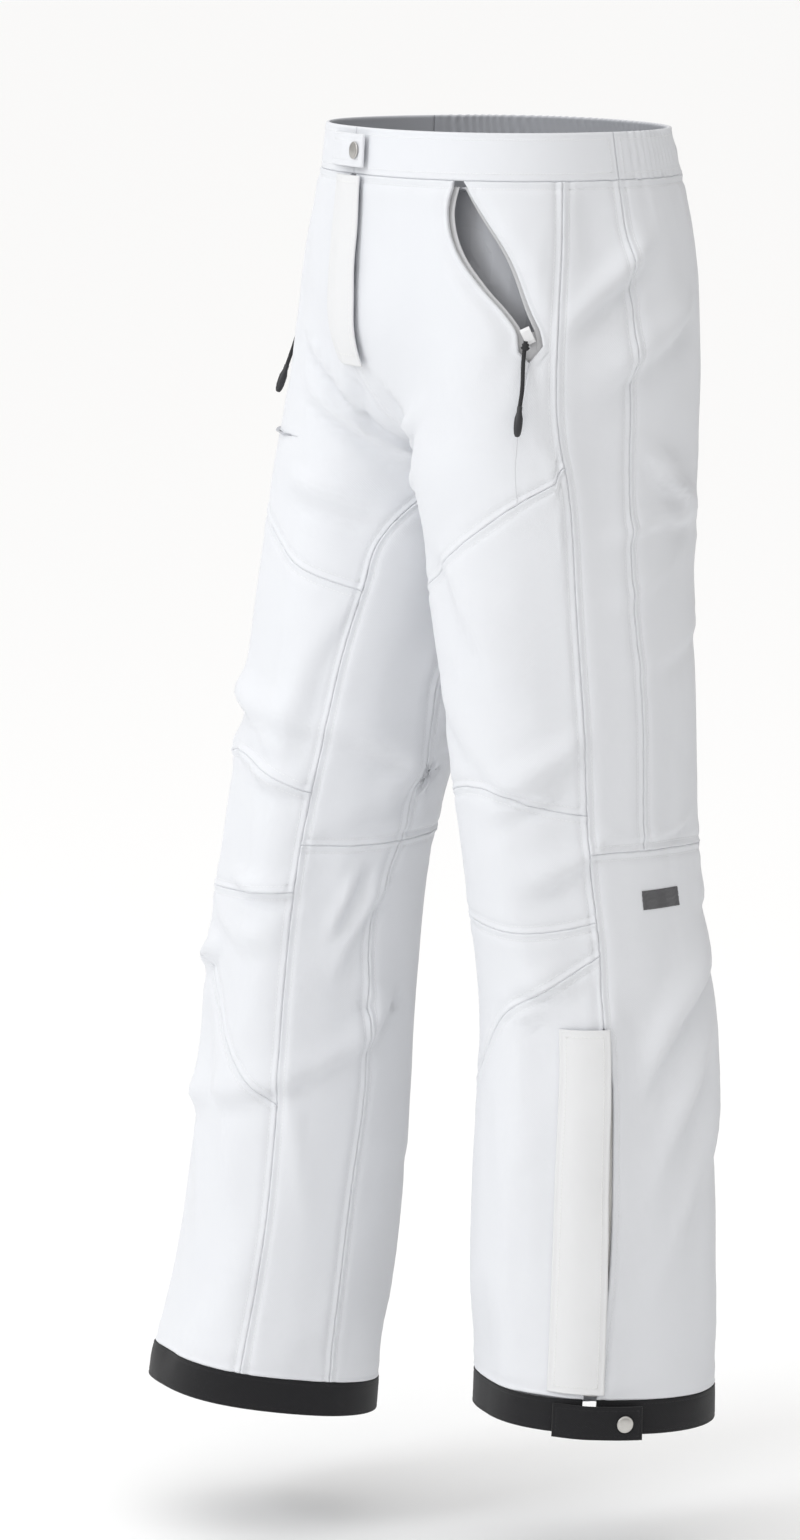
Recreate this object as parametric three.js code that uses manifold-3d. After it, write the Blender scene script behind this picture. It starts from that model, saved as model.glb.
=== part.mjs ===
// Insulated ski trousers, built as separate cloth panels over one shared surface.
// Millimetres, +Z up. The wearer faces -Y and the wearer's left is +X.
// The origin is the centre of the waist opening, level with the top of the waistband.
import * as THREE from 'three';
import { mergeVertices } from 'three/addons/utils/BufferGeometryUtils.js';
import Module from 'manifold-3d';

const wasm = await Module();
wasm.setup();

// ---------------------------------------------------------------- sizes
const CROTCH_Z = -240;          // height of the crotch point
const RISE_BAND = 100;          // height over which the crotch curve turns upright
const FRONT_RISE_SHARE = 0.42;  // share of the rise where the front curve is upright
const BACK_RISE_SHARE = 0.62;   // the same at the back
const SIDE_RISE_EXTRA = 0.38;   // the hip blends into the leg over a longer height
const THIGH_BLEND_Z = -420;     // below this the leg section is a plain oval
const LEG_SQUARENESS = 2.25;    // exponent of the leg's oval
const HIP_SQUARENESS = 2.3;     // exponent of the hip's oval
const CENTRE_GAP = 0.4;         // half the gap at the centre seams
const CLOTH = 2.0;              // thickness of the insulated shell cloth
const SEAM_GAP = 0.6;           // half the gap between two sewn panels
const FACET = 26;               // size of one facet of a cloth panel
const WAISTBAND_HEIGHT = 34;
const WAISTBAND_PROUD = 0.8;    // the band stands this far off the shell
const WAISTBAND_THICKNESS = 3.6;
const HEM_HEIGHT = 26;
const HEM_PROUD = 0.6;
const HEM_THICKNESS = 3.2;
const ZIP_SLOT = 9.2;           // open width between two panels over a zip
const ZIP_TAPE_WIDTH = 15;
const ZIP_TAPE_DEPTH = 3.5;     // the tape lies this far under the shell's face
const ZIP_TAPE_THICKNESS = 1.2;
const SLIDER = { width: 7.2, length: 12, height: 2.5, seat: -3, eye: 1.1 };
const PULL = { width: 4.8, length: 16, thickness: 1, seat: 0.7, eye: 1.4 };
const FLAP_CLEAR = 3.5;         // inner face of a flap above the shell at the zip
const FLAP_THICKNESS = 1.8;
const FLAP_ROOT_CLEAR = 0.5;
const LEG_ZIP_TOP = -650;
const STORM_FLAP = { root: 0.372, edge: 0.446, top: -645, bottomClear: 4 };
const TAB = { root: 0.381, length: 66, height: 25, drop: 3, clear: 0.7, lift: 3.4, thickness: 2.2 };
const SNAP = { radius: 6.25, thickness: 1.6, studRadius: 4.6, studThickness: 1.2, gap: 0.6 };
const FLY_TOP = -38;
const FLY_BOTTOM = -152;
const FLY_FLAP = { root: -0.056, edge: 0.036 };
const WAIST_TAB = { root: -0.074, edge: 0.046, top: -5, bottom: -29, lift: 3.2, thickness: 2.4 };
const POCKET_TOP = -40;
const POCKET_BOTTOM = -152;
const POCKET_SLIDER_Z = -141;
const POCKET_TAPE_LAP = 5;      // tape sewn under the cloth round the mouth
const POCKET_TAPE_SHOW = 5;     // tape seen inside the mouth
const BAG = { depth: 22, skin: 1.3, rim: 6, front: 0.195, back: 0.425, bottom: -232 };
const POCKET_SLIDER_TURN = 0.6;  // the slider points along the slanted mouth, radians
const CORD = { diameter: 3, length: 46, clear: 2.6, drift: 0.008, lean: 4 };
const TIP = { length: 22, radius: 3.1, neck: 1.9, gap: 0.4 };
const KNEE_BACK_BOTTOM = -608;  // the soft knee-back panel ends here
const GAITER = { top: -765, bottom: -925, clear: 7, taper: 15, skin: 1.3, facets: 22 };
const INNER_PANEL_TOP = -258;
const INNER_PANEL_GAP = 2.2;     // the narrow inner panel sits between two curved seams

// Leg sections from the crotch to below the hem, lowest first:
// height, centre x, half width, centre y, half depth.
const LEG_SECTIONS = {
  left: [
    [-1000, 104, 79, 30, 91],
    [-950, 104, 79, 31, 90],
    [-870, 104, 78, 33, 87],
    [-760, 104, 75, 35, 83],
    [-640, 103, 72, 35, 77],
    [-548, 102, 72, 24, 77],
    [-420, 100, 82, 12, 84],
    [-320, 97, 90, 2, 94],
    [-240, 93, 92.6, -2, 106],
  ],
  right: [
    [-1000, 108, 79, -147, 87],
    [-950, 108, 79, -142, 86],
    [-870, 108, 78, -129, 80],
    [-760, 106, 75, -117, 76],
    [-640, 104, 72, -109, 75],
    [-548, 102, 72, -99, 75],
    [-420, 99, 82, -72, 83],
    [-320, 96, 90, -54, 92],
    [-240, 93, 92.6, -32, 106],
  ],
};
// Hip sections, lowest first: height, half width, depth in front, depth behind.
const HIP_SECTIONS = [
  [-240, 182, 120, 128],
  [-175, 180, 122, 142],
  [-110, 172, 120.5, 138],
  [-40, 158, 115, 122],
  [0, 150, 112, 112],
];
// Hem edge: middle height and how much higher the front is than the middle.
const HEM = { left: [-947, 7], right: [-965, 15] };

// Upright seams: height, then place round the leg. 0 is the inside of the leg and
// centre front, 0.25 the front, 0.5 the outer side, 0.75 the back, 1 inside again.
const SIDE_FRONT_SEAM = [
  [-960, 0.425], [-873, 0.434], [-828, 0.441], [-714, 0.443], [-645, 0.438], [-590, 0.448],
  [-500, 0.447], [-400, 0.452], [-230, 0.452], [-140, 0.43], [0, 0.438],
];
const SIDE_REAR_SEAM = [[-520, 0.54], [-405, 0.545], [-320, 0.537], [-147, 0.538], [-90, 0.55], [0, 0.555]];
const INNER_FRONT_SEAM = [[-960, 0.1], [-340, 0.097], [-303, 0.1], [-270, 0.062], [-250, 0.018], [-240, 0.001]];
const INNER_BACK_SEAM = [
  [-960, 0.966], [-770, 0.962], [-700, 0.946], [-590, 0.955], [-520, 0.925], [-390, 0.942],
  [-320, 0.95], [-270, 0.97], [-250, 0.985], [-240, 0.999],
];
// Cross seams: place round the leg, then height.
const THIGH_SEAM = [[0, -360], [0.096, -342], [0.229, -320], [0.454, -234], [0.537, -195]];
const KNEE_TOP_SEAM = [[0, -500], [0.1, -492], [0.188, -477], [0.312, -468], [0.379, -483], [0.45, -489]];
const KNEE_MIDDLE_SEAM = [[0, -566], [0.1, -567], [0.22, -571], [0.392, -572], [0.46, -566]];
const KNEE_LOW_SEAM = [
  [0, -740], [0.1, -728], [0.138, -708], [0.221, -681], [0.271, -642], [0.362, -618], [0.45, -590],
];
const KNEE_BACK_SEAM = [[0.4, -516], [0.642, -518], [0.88, -530], [1, -534], [1.12, -531]];
// Edges of the open pocket mouth: height, then place round the hip.
const POCKET_FRONT = [[-152, 0.379], [-138, 0.37], [-126, 0.346], [-108, 0.296], [-90, 0.254], [-57, 0.226], [-40, 0.236]];
const POCKET_BACK = [[-152, 0.414], [-138, 0.405], [-126, 0.39], [-90, 0.345], [-57, 0.287], [-40, 0.258]];

const SHELL = new THREE.MeshStandardMaterial({ color: 0xf1f1f4, roughness: 0.78, metalness: 0 });
const LINER = new THREE.MeshStandardMaterial({ color: 0xb9bcc2, roughness: 0.7, metalness: 0 });
const BLACK_CLOTH = new THREE.MeshStandardMaterial({ color: 0x17171a, roughness: 0.85, metalness: 0 });
const GREY_TAPE = new THREE.MeshStandardMaterial({ color: 0xd8d8da, roughness: 0.6, metalness: 0 });
const WHITE_SLIDER = new THREE.MeshStandardMaterial({ color: 0xe9e9ea, roughness: 0.35, metalness: 0 });
const SNAP_METAL = new THREE.MeshStandardMaterial({ color: 0xaaa6a0, roughness: 0.35, metalness: 1 });
const CORD_BLACK = new THREE.MeshStandardMaterial({ color: 0x222226, roughness: 0.8, metalness: 0 });
const TIP_RUBBER = new THREE.MeshStandardMaterial({ color: 0x2c2c30, roughness: 0.5, metalness: 0 });

const trousers = new THREE.Group();

// ---------------------------------------------------------------- surface
const SIGN = { left: 1, right: -1 };
const OTHER = { left: 'right', right: 'left' };

function smoothTable(rows) {
  const size = rows[0].length - 1;
  const curve = new THREE.CubicInterpolant(rows.map((r) => r[0]), rows.flatMap((r) => r.slice(1)), size);
  return (x) => Array.from(curve.evaluate(x));
}

function straightTable(rows) {
  const line = new THREE.LinearInterpolant(rows.map((r) => r[0]), rows.map((r) => r[1]), 1);
  return (x) => line.evaluate(x)[0];
}

const legSection = { left: smoothTable(LEG_SECTIONS.left), right: smoothTable(LEG_SECTIONS.right) };
const hipSection = smoothTable(HIP_SECTIONS);
const sideFront = straightTable(SIDE_FRONT_SEAM);
const sideRear = straightTable(SIDE_REAR_SEAM);
const innerFront = straightTable(INNER_FRONT_SEAM);
const innerBack = straightTable(INNER_BACK_SEAM);
const thighSeam = straightTable(THIGH_SEAM);
const kneeTop = straightTable(KNEE_TOP_SEAM);
const kneeMiddle = straightTable(KNEE_MIDDLE_SEAM);
const kneeLow = straightTable(KNEE_LOW_SEAM);
const kneeBack = straightTable(KNEE_BACK_SEAM);
const pocketFront = straightTable(POCKET_FRONT);
const pocketBack = straightTable(POCKET_BACK);

// The cloth height v equals z except just above the crotch, where the rows crowd
// together so that the curved crotch seam is followed.
function heightOf(v) {
  const x = (v - CROTCH_Z) / RISE_BAND;
  return x <= 0 || x >= 1 ? v : CROTCH_Z + RISE_BAND * (1 - Math.cos((Math.PI / 2) * x));
}

function clothHeight(z) {
  const x = (z - CROTCH_Z) / RISE_BAND;
  return x <= 0 || x >= 1 ? z : CROTCH_Z + RISE_BAND * (2 / Math.PI) * Math.acos(1 - x);
}

function oval(c, s, power) {
  return 1 / (Math.abs(c) ** power + Math.abs(s) ** power) ** (1 / power);
}

function legPoint(side, u, z) {
  const [cx, halfWidth, cy, halfDepth] = legSection[side](z);
  const c = Math.cos(2 * Math.PI * u);
  const s = Math.sin(2 * Math.PI * u);
  const r = oval(c, s, LEG_SQUARENESS);
  const near = THREE.MathUtils.clamp((z - THIGH_BLEND_Z) / (CROTCH_Z - THIGH_BLEND_Z), 0, 1) ** 2;
  const shift = -cy * (0.5 + 0.5 * c) ** 2 * near;
  return [cx - halfWidth * c * r, cy - halfDepth * s * r + shift];
}

function hipPoint(u, z) {
  const [halfWidth, front, back] = hipSection(z);
  const s = Math.sin(Math.PI * u);
  const c = Math.cos(Math.PI * u);
  const r = oval(c, s, HIP_SQUARENESS);
  return [CENTRE_GAP + (halfWidth - CENTRE_GAP) * s * r, -(c > 0 ? front : back) * c * r];
}

function riseShare(u, w) {
  const side = Math.sin(Math.PI * u);
  const reach = FRONT_RISE_SHARE + (BACK_RISE_SHARE - FRONT_RISE_SHARE) * u;
  const q = THREE.MathUtils.clamp(w / reach, 0, 1);
  const round = Math.sqrt(1 - (1 - q) ** 2);
  const soft = THREE.MathUtils.smoothstep(w, 0, reach + SIDE_RISE_EXTRA * side);
  return (1 - side) * round + side * soft;
}

// One point of the trousers' outer face. Past the centre seams of the hip the place
// runs on over the other half; below the crotch it runs round the same leg.
function surface(side, place, v) {
  const z = heightOf(v);
  if (v <= CROTCH_Z) {
    const [x, y] = legPoint(side, place, z);
    return new THREE.Vector3(SIGN[side] * x, y, z);
  }
  const crossed = place < 0 || place > 1;
  const half = crossed ? OTHER[side] : side;
  const u = place < 0 ? -place : place > 1 ? 2 - place : place;
  const [lx, ly] = legPoint(half, u, CROTCH_Z);
  const [hx, hy] = hipPoint(u, z);
  const share = riseShare(u, (z - CROTCH_Z) / -CROTCH_Z);
  return new THREE.Vector3(SIGN[half] * (lx + (hx - lx) * share), ly + (hy - ly) * share, z);
}

function tangents(side, u, v) {
  const STEP_U = 0.003;
  const STEP_V = 1.5;
  const across = surface(side, u + STEP_U, v).sub(surface(side, u - STEP_U, v)).normalize();
  const above = Math.min(v + STEP_V, 0);
  const along = surface(side, u, above).sub(surface(side, u, v - STEP_V)).normalize();
  const out = across.clone().cross(along).multiplyScalar(SIGN[side]).normalize();
  return { across, along, out };
}

function offsetPoint(side, u, v, distance) {
  return surface(side, u, v).addScaledVector(tangents(side, u, v).out, distance);
}

// Millimetres round the leg as a share of its girth at that height.
function share(side, u, v, distance) {
  const STEP = 0.01;
  return (distance * STEP) / surface(side, u + STEP / 2, v).distanceTo(surface(side, u - STEP / 2, v));
}

// Local frame on the cloth: x across, y up along it, z outwards.
function placeOn(side, u, v, distance = 0) {
  const { along, out } = tangents(side, u, v);
  const x = along.clone().cross(out).normalize();
  const y = out.clone().cross(x);
  const at = surface(side, u, v).addScaledVector(out, distance);
  return new THREE.Matrix4().makeBasis(x, y, out).setPosition(at);
}

// ---------------------------------------------------------------- solids
function bare(geometry) {
  const copy = geometry.clone();
  copy.deleteAttribute('normal');
  copy.deleteAttribute('uv');
  return mergeVertices(copy, 1e-4);
}

function solidOf(geometry) {
  const vertProperties = new Float32Array(geometry.attributes.position.array);
  const triVerts = new Uint32Array(geometry.index.array);
  return new wasm.Manifold(new wasm.Mesh({ numProp: 3, vertProperties, triVerts }));
}

function geometryOf(solid) {
  const mesh = solid.getMesh();
  const geometry = new THREE.BufferGeometry();
  geometry.setAttribute('position', new THREE.BufferAttribute(mesh.vertProperties, 3));
  geometry.setIndex(new THREE.BufferAttribute(mesh.triVerts, 1));
  return geometry;
}

function cut(body, tool) {
  return geometryOf(solidOf(body).subtract(solidOf(tool)));
}

function add(name, geometry, material) {
  const clean = bare(geometry);
  clean.computeVertexNormals();
  const mesh = new THREE.Mesh(clean, material.clone());
  mesh.name = name;
  trousers.add(mesh);
  return mesh;
}

// A patch of cloth with thickness. left/right give its upright edges by height,
// bottom/top its cross edges by place, faces its inner and outer offset.
function patch(side, { left, right, bottom, top, faces, cells, gap = SEAM_GAP }) {
  const geometry = new THREE.BoxGeometry(1, 1, 1, cells[0], 1, cells[1]);
  const position = geometry.attributes.position;
  for (let i = 0; i < position.count; i += 1) {
    const s = 0.5 + SIGN[side] * position.getX(i);
    const t = 0.5 + position.getZ(i);
    let u = 0.5 * (left(CROTCH_Z) + right(CROTCH_Z));
    let v = 0;
    for (let round = 0; round < 6; round += 1) {
      v = THREE.MathUtils.lerp(bottom(u) + gap, top(u) - gap, t);
      const inset = share(side, u, v, gap);
      u = THREE.MathUtils.lerp(left(v) + inset, right(v) - inset, s);
    }
    const [inner, outer] = faces(s, t);
    const at = offsetPoint(side, u, v, position.getY(i) > 0 ? inner : outer);
    position.setXYZ(i, at.x, at.y, at.z);
  }
  return bare(geometry);
}

const shellFaces = () => [-CLOTH, 0];

function cellsFor(width, height) {
  return [Math.max(2, Math.round(width / FACET)), Math.max(2, Math.round(height / FACET))];
}

// ---------------------------------------------------------------- seams and edges
function hemBottom(side) {
  const [middle, tilt] = HEM[side];
  return (u) => middle + tilt * Math.sin(2 * Math.PI * u);
}

function hemTop(side) {
  const bottom = hemBottom(side);
  return (u) => bottom(u) + HEM_HEIGHT;
}

const clothSeam = (line) => (u) => clothHeight(line(u));
const level = (height) => () => clothHeight(height);
const underBand = level(-WAISTBAND_HEIGHT);

// Half the open slot over a zip as a share of the girth, closing to nothing past its end.
function slotHalf(side, u, v, top, bottom) {
  const open = THREE.MathUtils.smoothstep(v, bottom - 8, bottom) * (1 - THREE.MathUtils.smoothstep(v, top, top + 8));
  return share(side, u, v, (ZIP_SLOT / 2) * open);
}

function centreFront(side) {
  return (v) => (v > CROTCH_Z ? slotHalf(side, 0.004, v, 0, FLY_BOTTOM) : innerFront(v));
}

function legZip(side, way) {
  return (v) => sideFront(v) + way * slotHalf(side, sideFront(v), v, LEG_ZIP_TOP, -1100);
}

// ---------------------------------------------------------------- thigh and hip panels
function buildUpperPanels(side) {
  const upper = patch(side, {
    left: centreFront(side), right: sideFront, bottom: clothSeam(thighSeam), top: underBand,
    faces: shellFaces, cells: [9, 13],
  });
  const mouth = patch(side, {
    left: pocketFront, right: pocketBack, bottom: level(POCKET_BOTTOM), top: level(POCKET_TOP),
    faces: () => [-3 * CLOTH, 2 * CLOTH], cells: [2, 10], gap: 0,
  });
  add(`${side}_front_thigh_upper`, cut(upper, mouth), SHELL);
  add(`${side}_front_thigh_lower`, patch(side, {
    left: innerFront, right: sideFront, bottom: kneeTop, top: clothSeam(thighSeam),
    faces: shellFaces, cells: [7, 9], gap: 2 * SEAM_GAP,
  }), SHELL);
  add(`${side}_side_panel`, patch(side, {
    left: sideFront, right: sideRear, bottom: kneeBack, top: underBand,
    faces: shellFaces, cells: [2, 18],
  }), SHELL);
  add(`${side}_back_thigh`, patch(side, {
    left: sideRear, right: (v) => (v > CROTCH_Z ? 1 : innerBack(v)), bottom: kneeBack, top: underBand,
    faces: shellFaces, cells: [9, 19],
  }), SHELL);
  add(`${side}_inner_thigh`, patch(side, {
    left: innerBack, right: (v) => 1 + innerFront(v), bottom: kneeBack, top: () => INNER_PANEL_TOP,
    faces: shellFaces, cells: [3, 11], gap: INNER_PANEL_GAP,
  }), SHELL);
}

// ---------------------------------------------------------------- knee and shin panels
function buildKneePanels(side) {
  add(`${side}_knee_front`, patch(side, {
    left: innerFront, right: sideFront, bottom: kneeMiddle, top: kneeTop,
    faces: shellFaces, cells: [7, 3],
  }), SHELL);
  add(`${side}_knee_lower`, patch(side, {
    left: innerFront, right: sideFront, bottom: kneeLow, top: kneeMiddle,
    faces: shellFaces, cells: [7, 4],
  }), SHELL);
  add(`${side}_knee_back`, patch(side, {
    left: sideFront, right: (v) => 1 + innerFront(v), bottom: () => KNEE_BACK_BOTTOM, top: kneeBack,
    faces: shellFaces, cells: [13, 3],
  }), SHELL);
}

function buildShinPanels(side) {
  add(`${side}_front_shin`, patch(side, {
    left: innerFront, right: legZip(side, -1), bottom: hemTop(side), top: kneeLow,
    faces: shellFaces, cells: [7, 10],
  }), SHELL);
  add(`${side}_calf`, patch(side, {
    left: legZip(side, 1), right: innerBack, bottom: hemTop(side), top: () => KNEE_BACK_BOTTOM,
    faces: shellFaces, cells: [10, 12],
  }), SHELL);
  add(`${side}_inner_shin`, patch(side, {
    left: innerBack, right: (v) => 1 + innerFront(v), bottom: hemTop(side), top: () => KNEE_BACK_BOTTOM,
    faces: shellFaces, cells: [3, 12],
  }), SHELL);
  add(`${side}_hem_band`, patch(side, {
    left: legZip(side, 1), right: (v) => 1 + legZip(side, -1)(v), bottom: hemBottom(side), top: hemTop(side),
    faces: () => [HEM_PROUD - HEM_THICKNESS, HEM_PROUD], cells: [22, 1],
  }), BLACK_CLOTH);
}

function buildGaiter(side) {
  const profile = [[0, 0], [1, 0], [1, 0.5], [1, 1], [0, 1], [0, 0.5], [0, 0]].map(([x, y]) => new THREE.Vector2(1 + x, y));
  const geometry = bare(new THREE.LatheGeometry(profile, GAITER.facets));
  const position = geometry.attributes.position;
  for (let i = 0; i < position.count; i += 1) {
    const turn = Math.atan2(position.getX(i), position.getZ(i)) / (2 * Math.PI);
    const radius = Math.hypot(position.getX(i), position.getZ(i));
    const t = position.getY(i);
    const v = THREE.MathUtils.lerp(GAITER.bottom, GAITER.top, t);
    const inward = GAITER.clear + GAITER.taper * (1 - t);
    const at = offsetPoint(side, SIGN[side] * turn, v, GAITER.skin * (radius - 1) - inward - GAITER.skin);
    position.setXYZ(i, at.x, at.y, at.z);
  }
  add(`${side}_snow_gaiter`, geometry, LINER);
}

// ---------------------------------------------------------------- zips
function tapeFaces() {
  return [-ZIP_TAPE_DEPTH - ZIP_TAPE_THICKNESS, -ZIP_TAPE_DEPTH];
}

function zipTape(side, line, bottom, top, rows) {
  const edge = (way) => (v) => line(v) + way * share(side, line(v), v, ZIP_TAPE_WIDTH / 2);
  return patch(side, { left: edge(-1), right: edge(1), bottom, top, faces: tapeFaces, cells: [2, rows] });
}

// Slider body: a low dome with an eye that holds the pull. x across, y along, z out.
function sliderBody() {
  const half = SLIDER.length / 2;
  const profile = new THREE.Shape();
  profile.moveTo(-half, 0);
  profile.lineTo(half, 0);
  profile.lineTo(half, 0.55 * SLIDER.height);
  profile.lineTo(0.6 * half, SLIDER.height);
  profile.lineTo(-0.6 * half, SLIDER.height);
  profile.lineTo(-half, 0.55 * SLIDER.height);
  profile.closePath();
  const eye = new THREE.Path();
  eye.absarc(-0.35 * half, 0.52 * SLIDER.height, 0.5 * SLIDER.eye, 0, 2 * Math.PI, true);
  profile.holes.push(eye);
  const body = new THREE.ExtrudeGeometry(profile, { depth: SLIDER.width, bevelEnabled: false, curveSegments: 5 });
  body.translate(0, 0, -SLIDER.width / 2);
  const turn = new THREE.Matrix4().makeBasis(
    new THREE.Vector3(0, 1, 0), new THREE.Vector3(0, 0, 1), new THREE.Vector3(1, 0, 0));
  return body.applyMatrix4(turn);
}

// Flat pull lying over the slider and hanging from its upper end. Its eye is at y = 0.
function pullPlate() {
  const half = PULL.width / 2;
  const plate = new THREE.Shape();
  plate.absarc(0, 2, half, Math.PI, 0, true);
  plate.lineTo(half * 0.8, -PULL.length);
  plate.lineTo(-half * 0.8, -PULL.length);
  plate.closePath();
  const eye = new THREE.Path();
  eye.absarc(0, 0.6, PULL.eye / 2, 0, 2 * Math.PI);
  plate.holes.push(eye);
  return new THREE.ExtrudeGeometry(plate, { depth: PULL.thickness, bevelEnabled: false, curveSegments: 5 });
}

function buildLegZip(side) {
  const top = () => LEG_ZIP_TOP - 4;
  const bottom = (u) => hemTop(side)(u) + 1;
  add(`${side}_leg_zip_tape`, zipTape(side, sideFront, bottom, top, 8), GREY_TAPE);
  const v = hemTop(side)(sideFront(-920)) + SLIDER.length / 2 + 3;
  const u = sideFront(v);
  add(`${side}_leg_zip_slider`, sliderBody().applyMatrix4(placeOn(side, u, v, SLIDER.seat)), WHITE_SLIDER);
  const pullAt = placeOn(side, u, v + PULL.length, PULL.seat);
  add(`${side}_leg_zip_pull`, pullPlate().applyMatrix4(pullAt), WHITE_SLIDER);
}

function buildStormFlap(side) {
  const rootLine = () => STORM_FLAP.root;
  const edgeLine = () => STORM_FLAP.edge;
  add(`${side}_storm_flap`, patch(side, {
    left: rootLine, right: edgeLine, top: () => STORM_FLAP.top,
    bottom: (u) => hemTop(side)(u) + STORM_FLAP.bottomClear,
    faces: (s) => {
      const inner = THREE.MathUtils.lerp(FLAP_ROOT_CLEAR, FLAP_CLEAR, THREE.MathUtils.smoothstep(s, 0, 0.5));
      return [inner, inner + FLAP_THICKNESS];
    },
    cells: [4, 10], gap: 0,
  }), SHELL);
}

function disc(radius, thickness) {
  return new THREE.CylinderGeometry(radius, radius, thickness, 18).rotateX(Math.PI / 2);
}

function buildHemTab(side) {
  const bottom = hemBottom(side);
  const middle = (u) => bottom(u) - TAB.drop + TAB.height / 2;
  const end = TAB.root + share(side, 0.44, -940, TAB.length);
  add(`${side}_hem_tab`, patch(side, {
    left: () => TAB.root, right: () => end,
    bottom: (u) => bottom(u) - TAB.drop, top: (u) => bottom(u) - TAB.drop + TAB.height,
    faces: (s) => {
      const inner = HEM_PROUD + THREE.MathUtils.lerp(TAB.clear, TAB.lift, THREE.MathUtils.smoothstep(s, 0, 0.4));
      return [inner, inner + TAB.thickness];
    },
    cells: [6, 1], gap: 0,
  }), BLACK_CLOTH);
  const u = end - share(side, end, -940, 14);
  const capSeat = HEM_PROUD + TAB.lift + TAB.thickness + SNAP.gap + SNAP.thickness / 2;
  add(`${side}_hem_snap_cap`, disc(SNAP.radius, SNAP.thickness).applyMatrix4(placeOn(side, u, middle(u), capSeat)), SNAP_METAL);
  const studSeat = HEM_PROUD + SNAP.gap + SNAP.studThickness / 2;
  add(`${side}_hem_snap_stud`, disc(SNAP.studRadius, SNAP.studThickness).applyMatrix4(placeOn(side, u, middle(u), studSeat)), SNAP_METAL);
}

// ---------------------------------------------------------------- pockets
function buildPocket(side) {
  const grow = (line, way, distance) => (v) => line(heightOf(v)) + way * share(side, line(heightOf(v)), v, distance);
  const tapeOuter = patch(side, {
    left: grow(pocketFront, -1, POCKET_TAPE_LAP), right: grow(pocketBack, 1, POCKET_TAPE_LAP),
    bottom: level(POCKET_BOTTOM - POCKET_TAPE_LAP), top: level(POCKET_TOP + 2),
    faces: tapeFaces, cells: [3, 9], gap: 0,
  });
  const tapeHole = patch(side, {
    left: grow(pocketFront, 1, POCKET_TAPE_SHOW), right: grow(pocketBack, -1, POCKET_TAPE_SHOW),
    bottom: level(-124), top: level(POCKET_TOP - 6),
    faces: () => [-3 * CLOTH, CLOTH], cells: [2, 8], gap: 0,
  });
  add(`${side}_pocket_zip_tape`, cut(tapeOuter, tapeHole), GREY_TAPE);
  buildPocketSlider(side);
  buildPocketBag(side);
}

function buildPocketSlider(side) {
  const v = clothHeight(POCKET_SLIDER_Z);
  const u = 0.5 * (pocketFront(POCKET_SLIDER_Z) + pocketBack(POCKET_SLIDER_Z));
  const body = sliderBody().rotateZ(SIGN[side] * POCKET_SLIDER_TURN);
  add(`${side}_pocket_slider`, body.applyMatrix4(placeOn(side, u, v, SLIDER.seat)), WHITE_SLIDER);
  const lift = CORD.clear + CORD.diameter / 2;
  const start = offsetPoint(side, u, clothHeight(POCKET_SLIDER_Z - 4), lift);
  const below = clothHeight(POCKET_SLIDER_Z - 4 - CORD.length - TIP.length / 2);
  const hang = offsetPoint(side, u + CORD.drift, below, lift + CORD.lean).sub(start).normalize();
  const end = start.clone().addScaledVector(hang, CORD.length);
  const section = new THREE.Shape().absarc(0, 0, CORD.diameter / 2, 0, 2 * Math.PI);
  const cord = new THREE.ExtrudeGeometry(section, {
    steps: 6, bevelEnabled: false, curveSegments: 4, extrudePath: new THREE.LineCurve3(start, end),
  });
  add(`${side}_pocket_pull_cord`, cord, CORD_BLACK);
  const outline = [[0, 0], [TIP.neck, 0], [TIP.neck, 5], [TIP.radius, 9], [TIP.radius, 17], [TIP.neck, TIP.length], [0, TIP.length]];
  const tip = new THREE.LatheGeometry(outline.map(([r, y]) => new THREE.Vector2(r, y)), 12);
  const turn = new THREE.Quaternion().setFromUnitVectors(new THREE.Vector3(0, 1, 0), hang);
  tip.applyQuaternion(turn);
  const at = end.clone().addScaledVector(hang, TIP.gap);
  tip.translate(at.x, at.y, at.z);
  add(`${side}_pocket_pull_tip`, tip, TIP_RUBBER);
}

// The hand pocket is a flat pouch open towards its mouth.
function buildPocketBag(side) {
  const outside = patch(side, {
    left: () => BAG.front, right: () => BAG.back, bottom: level(BAG.bottom), top: level(POCKET_TOP + 2),
    faces: () => [-BAG.depth, -BAG.rim], cells: [5, 8], gap: 0,
  });
  const skin = share(side, 0.3, -100, BAG.skin);
  const inside = patch(side, {
    left: () => BAG.front + skin, right: () => BAG.back - skin,
    bottom: level(BAG.bottom + BAG.skin), top: level(POCKET_TOP + 2 - BAG.skin),
    faces: () => [-BAG.depth + BAG.skin, CLOTH], cells: [5, 8], gap: 0,
  });
  add(`${side}_pocket_bag`, cut(outside, inside), LINER);
}

// ---------------------------------------------------------------- waist and fly
const bandFaces = () => [WAISTBAND_PROUD - WAISTBAND_THICKNESS, WAISTBAND_PROUD];

function buildWaistband() {
  const sideSeam = () => sideRear(0);
  for (const side of ['left', 'right']) {
    add(`${side}_waistband_front`, patch(side, {
      left: () => 0, right: sideSeam, bottom: underBand, top: () => SEAM_GAP, faces: bandFaces, cells: [12, 1],
    }), SHELL);
  }
  add('waistband_back', patch('left', {
    left: sideSeam, right: () => 2 - sideRear(0), bottom: underBand, top: () => SEAM_GAP, faces: bandFaces, cells: [20, 1],
  }), SHELL);
}

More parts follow.
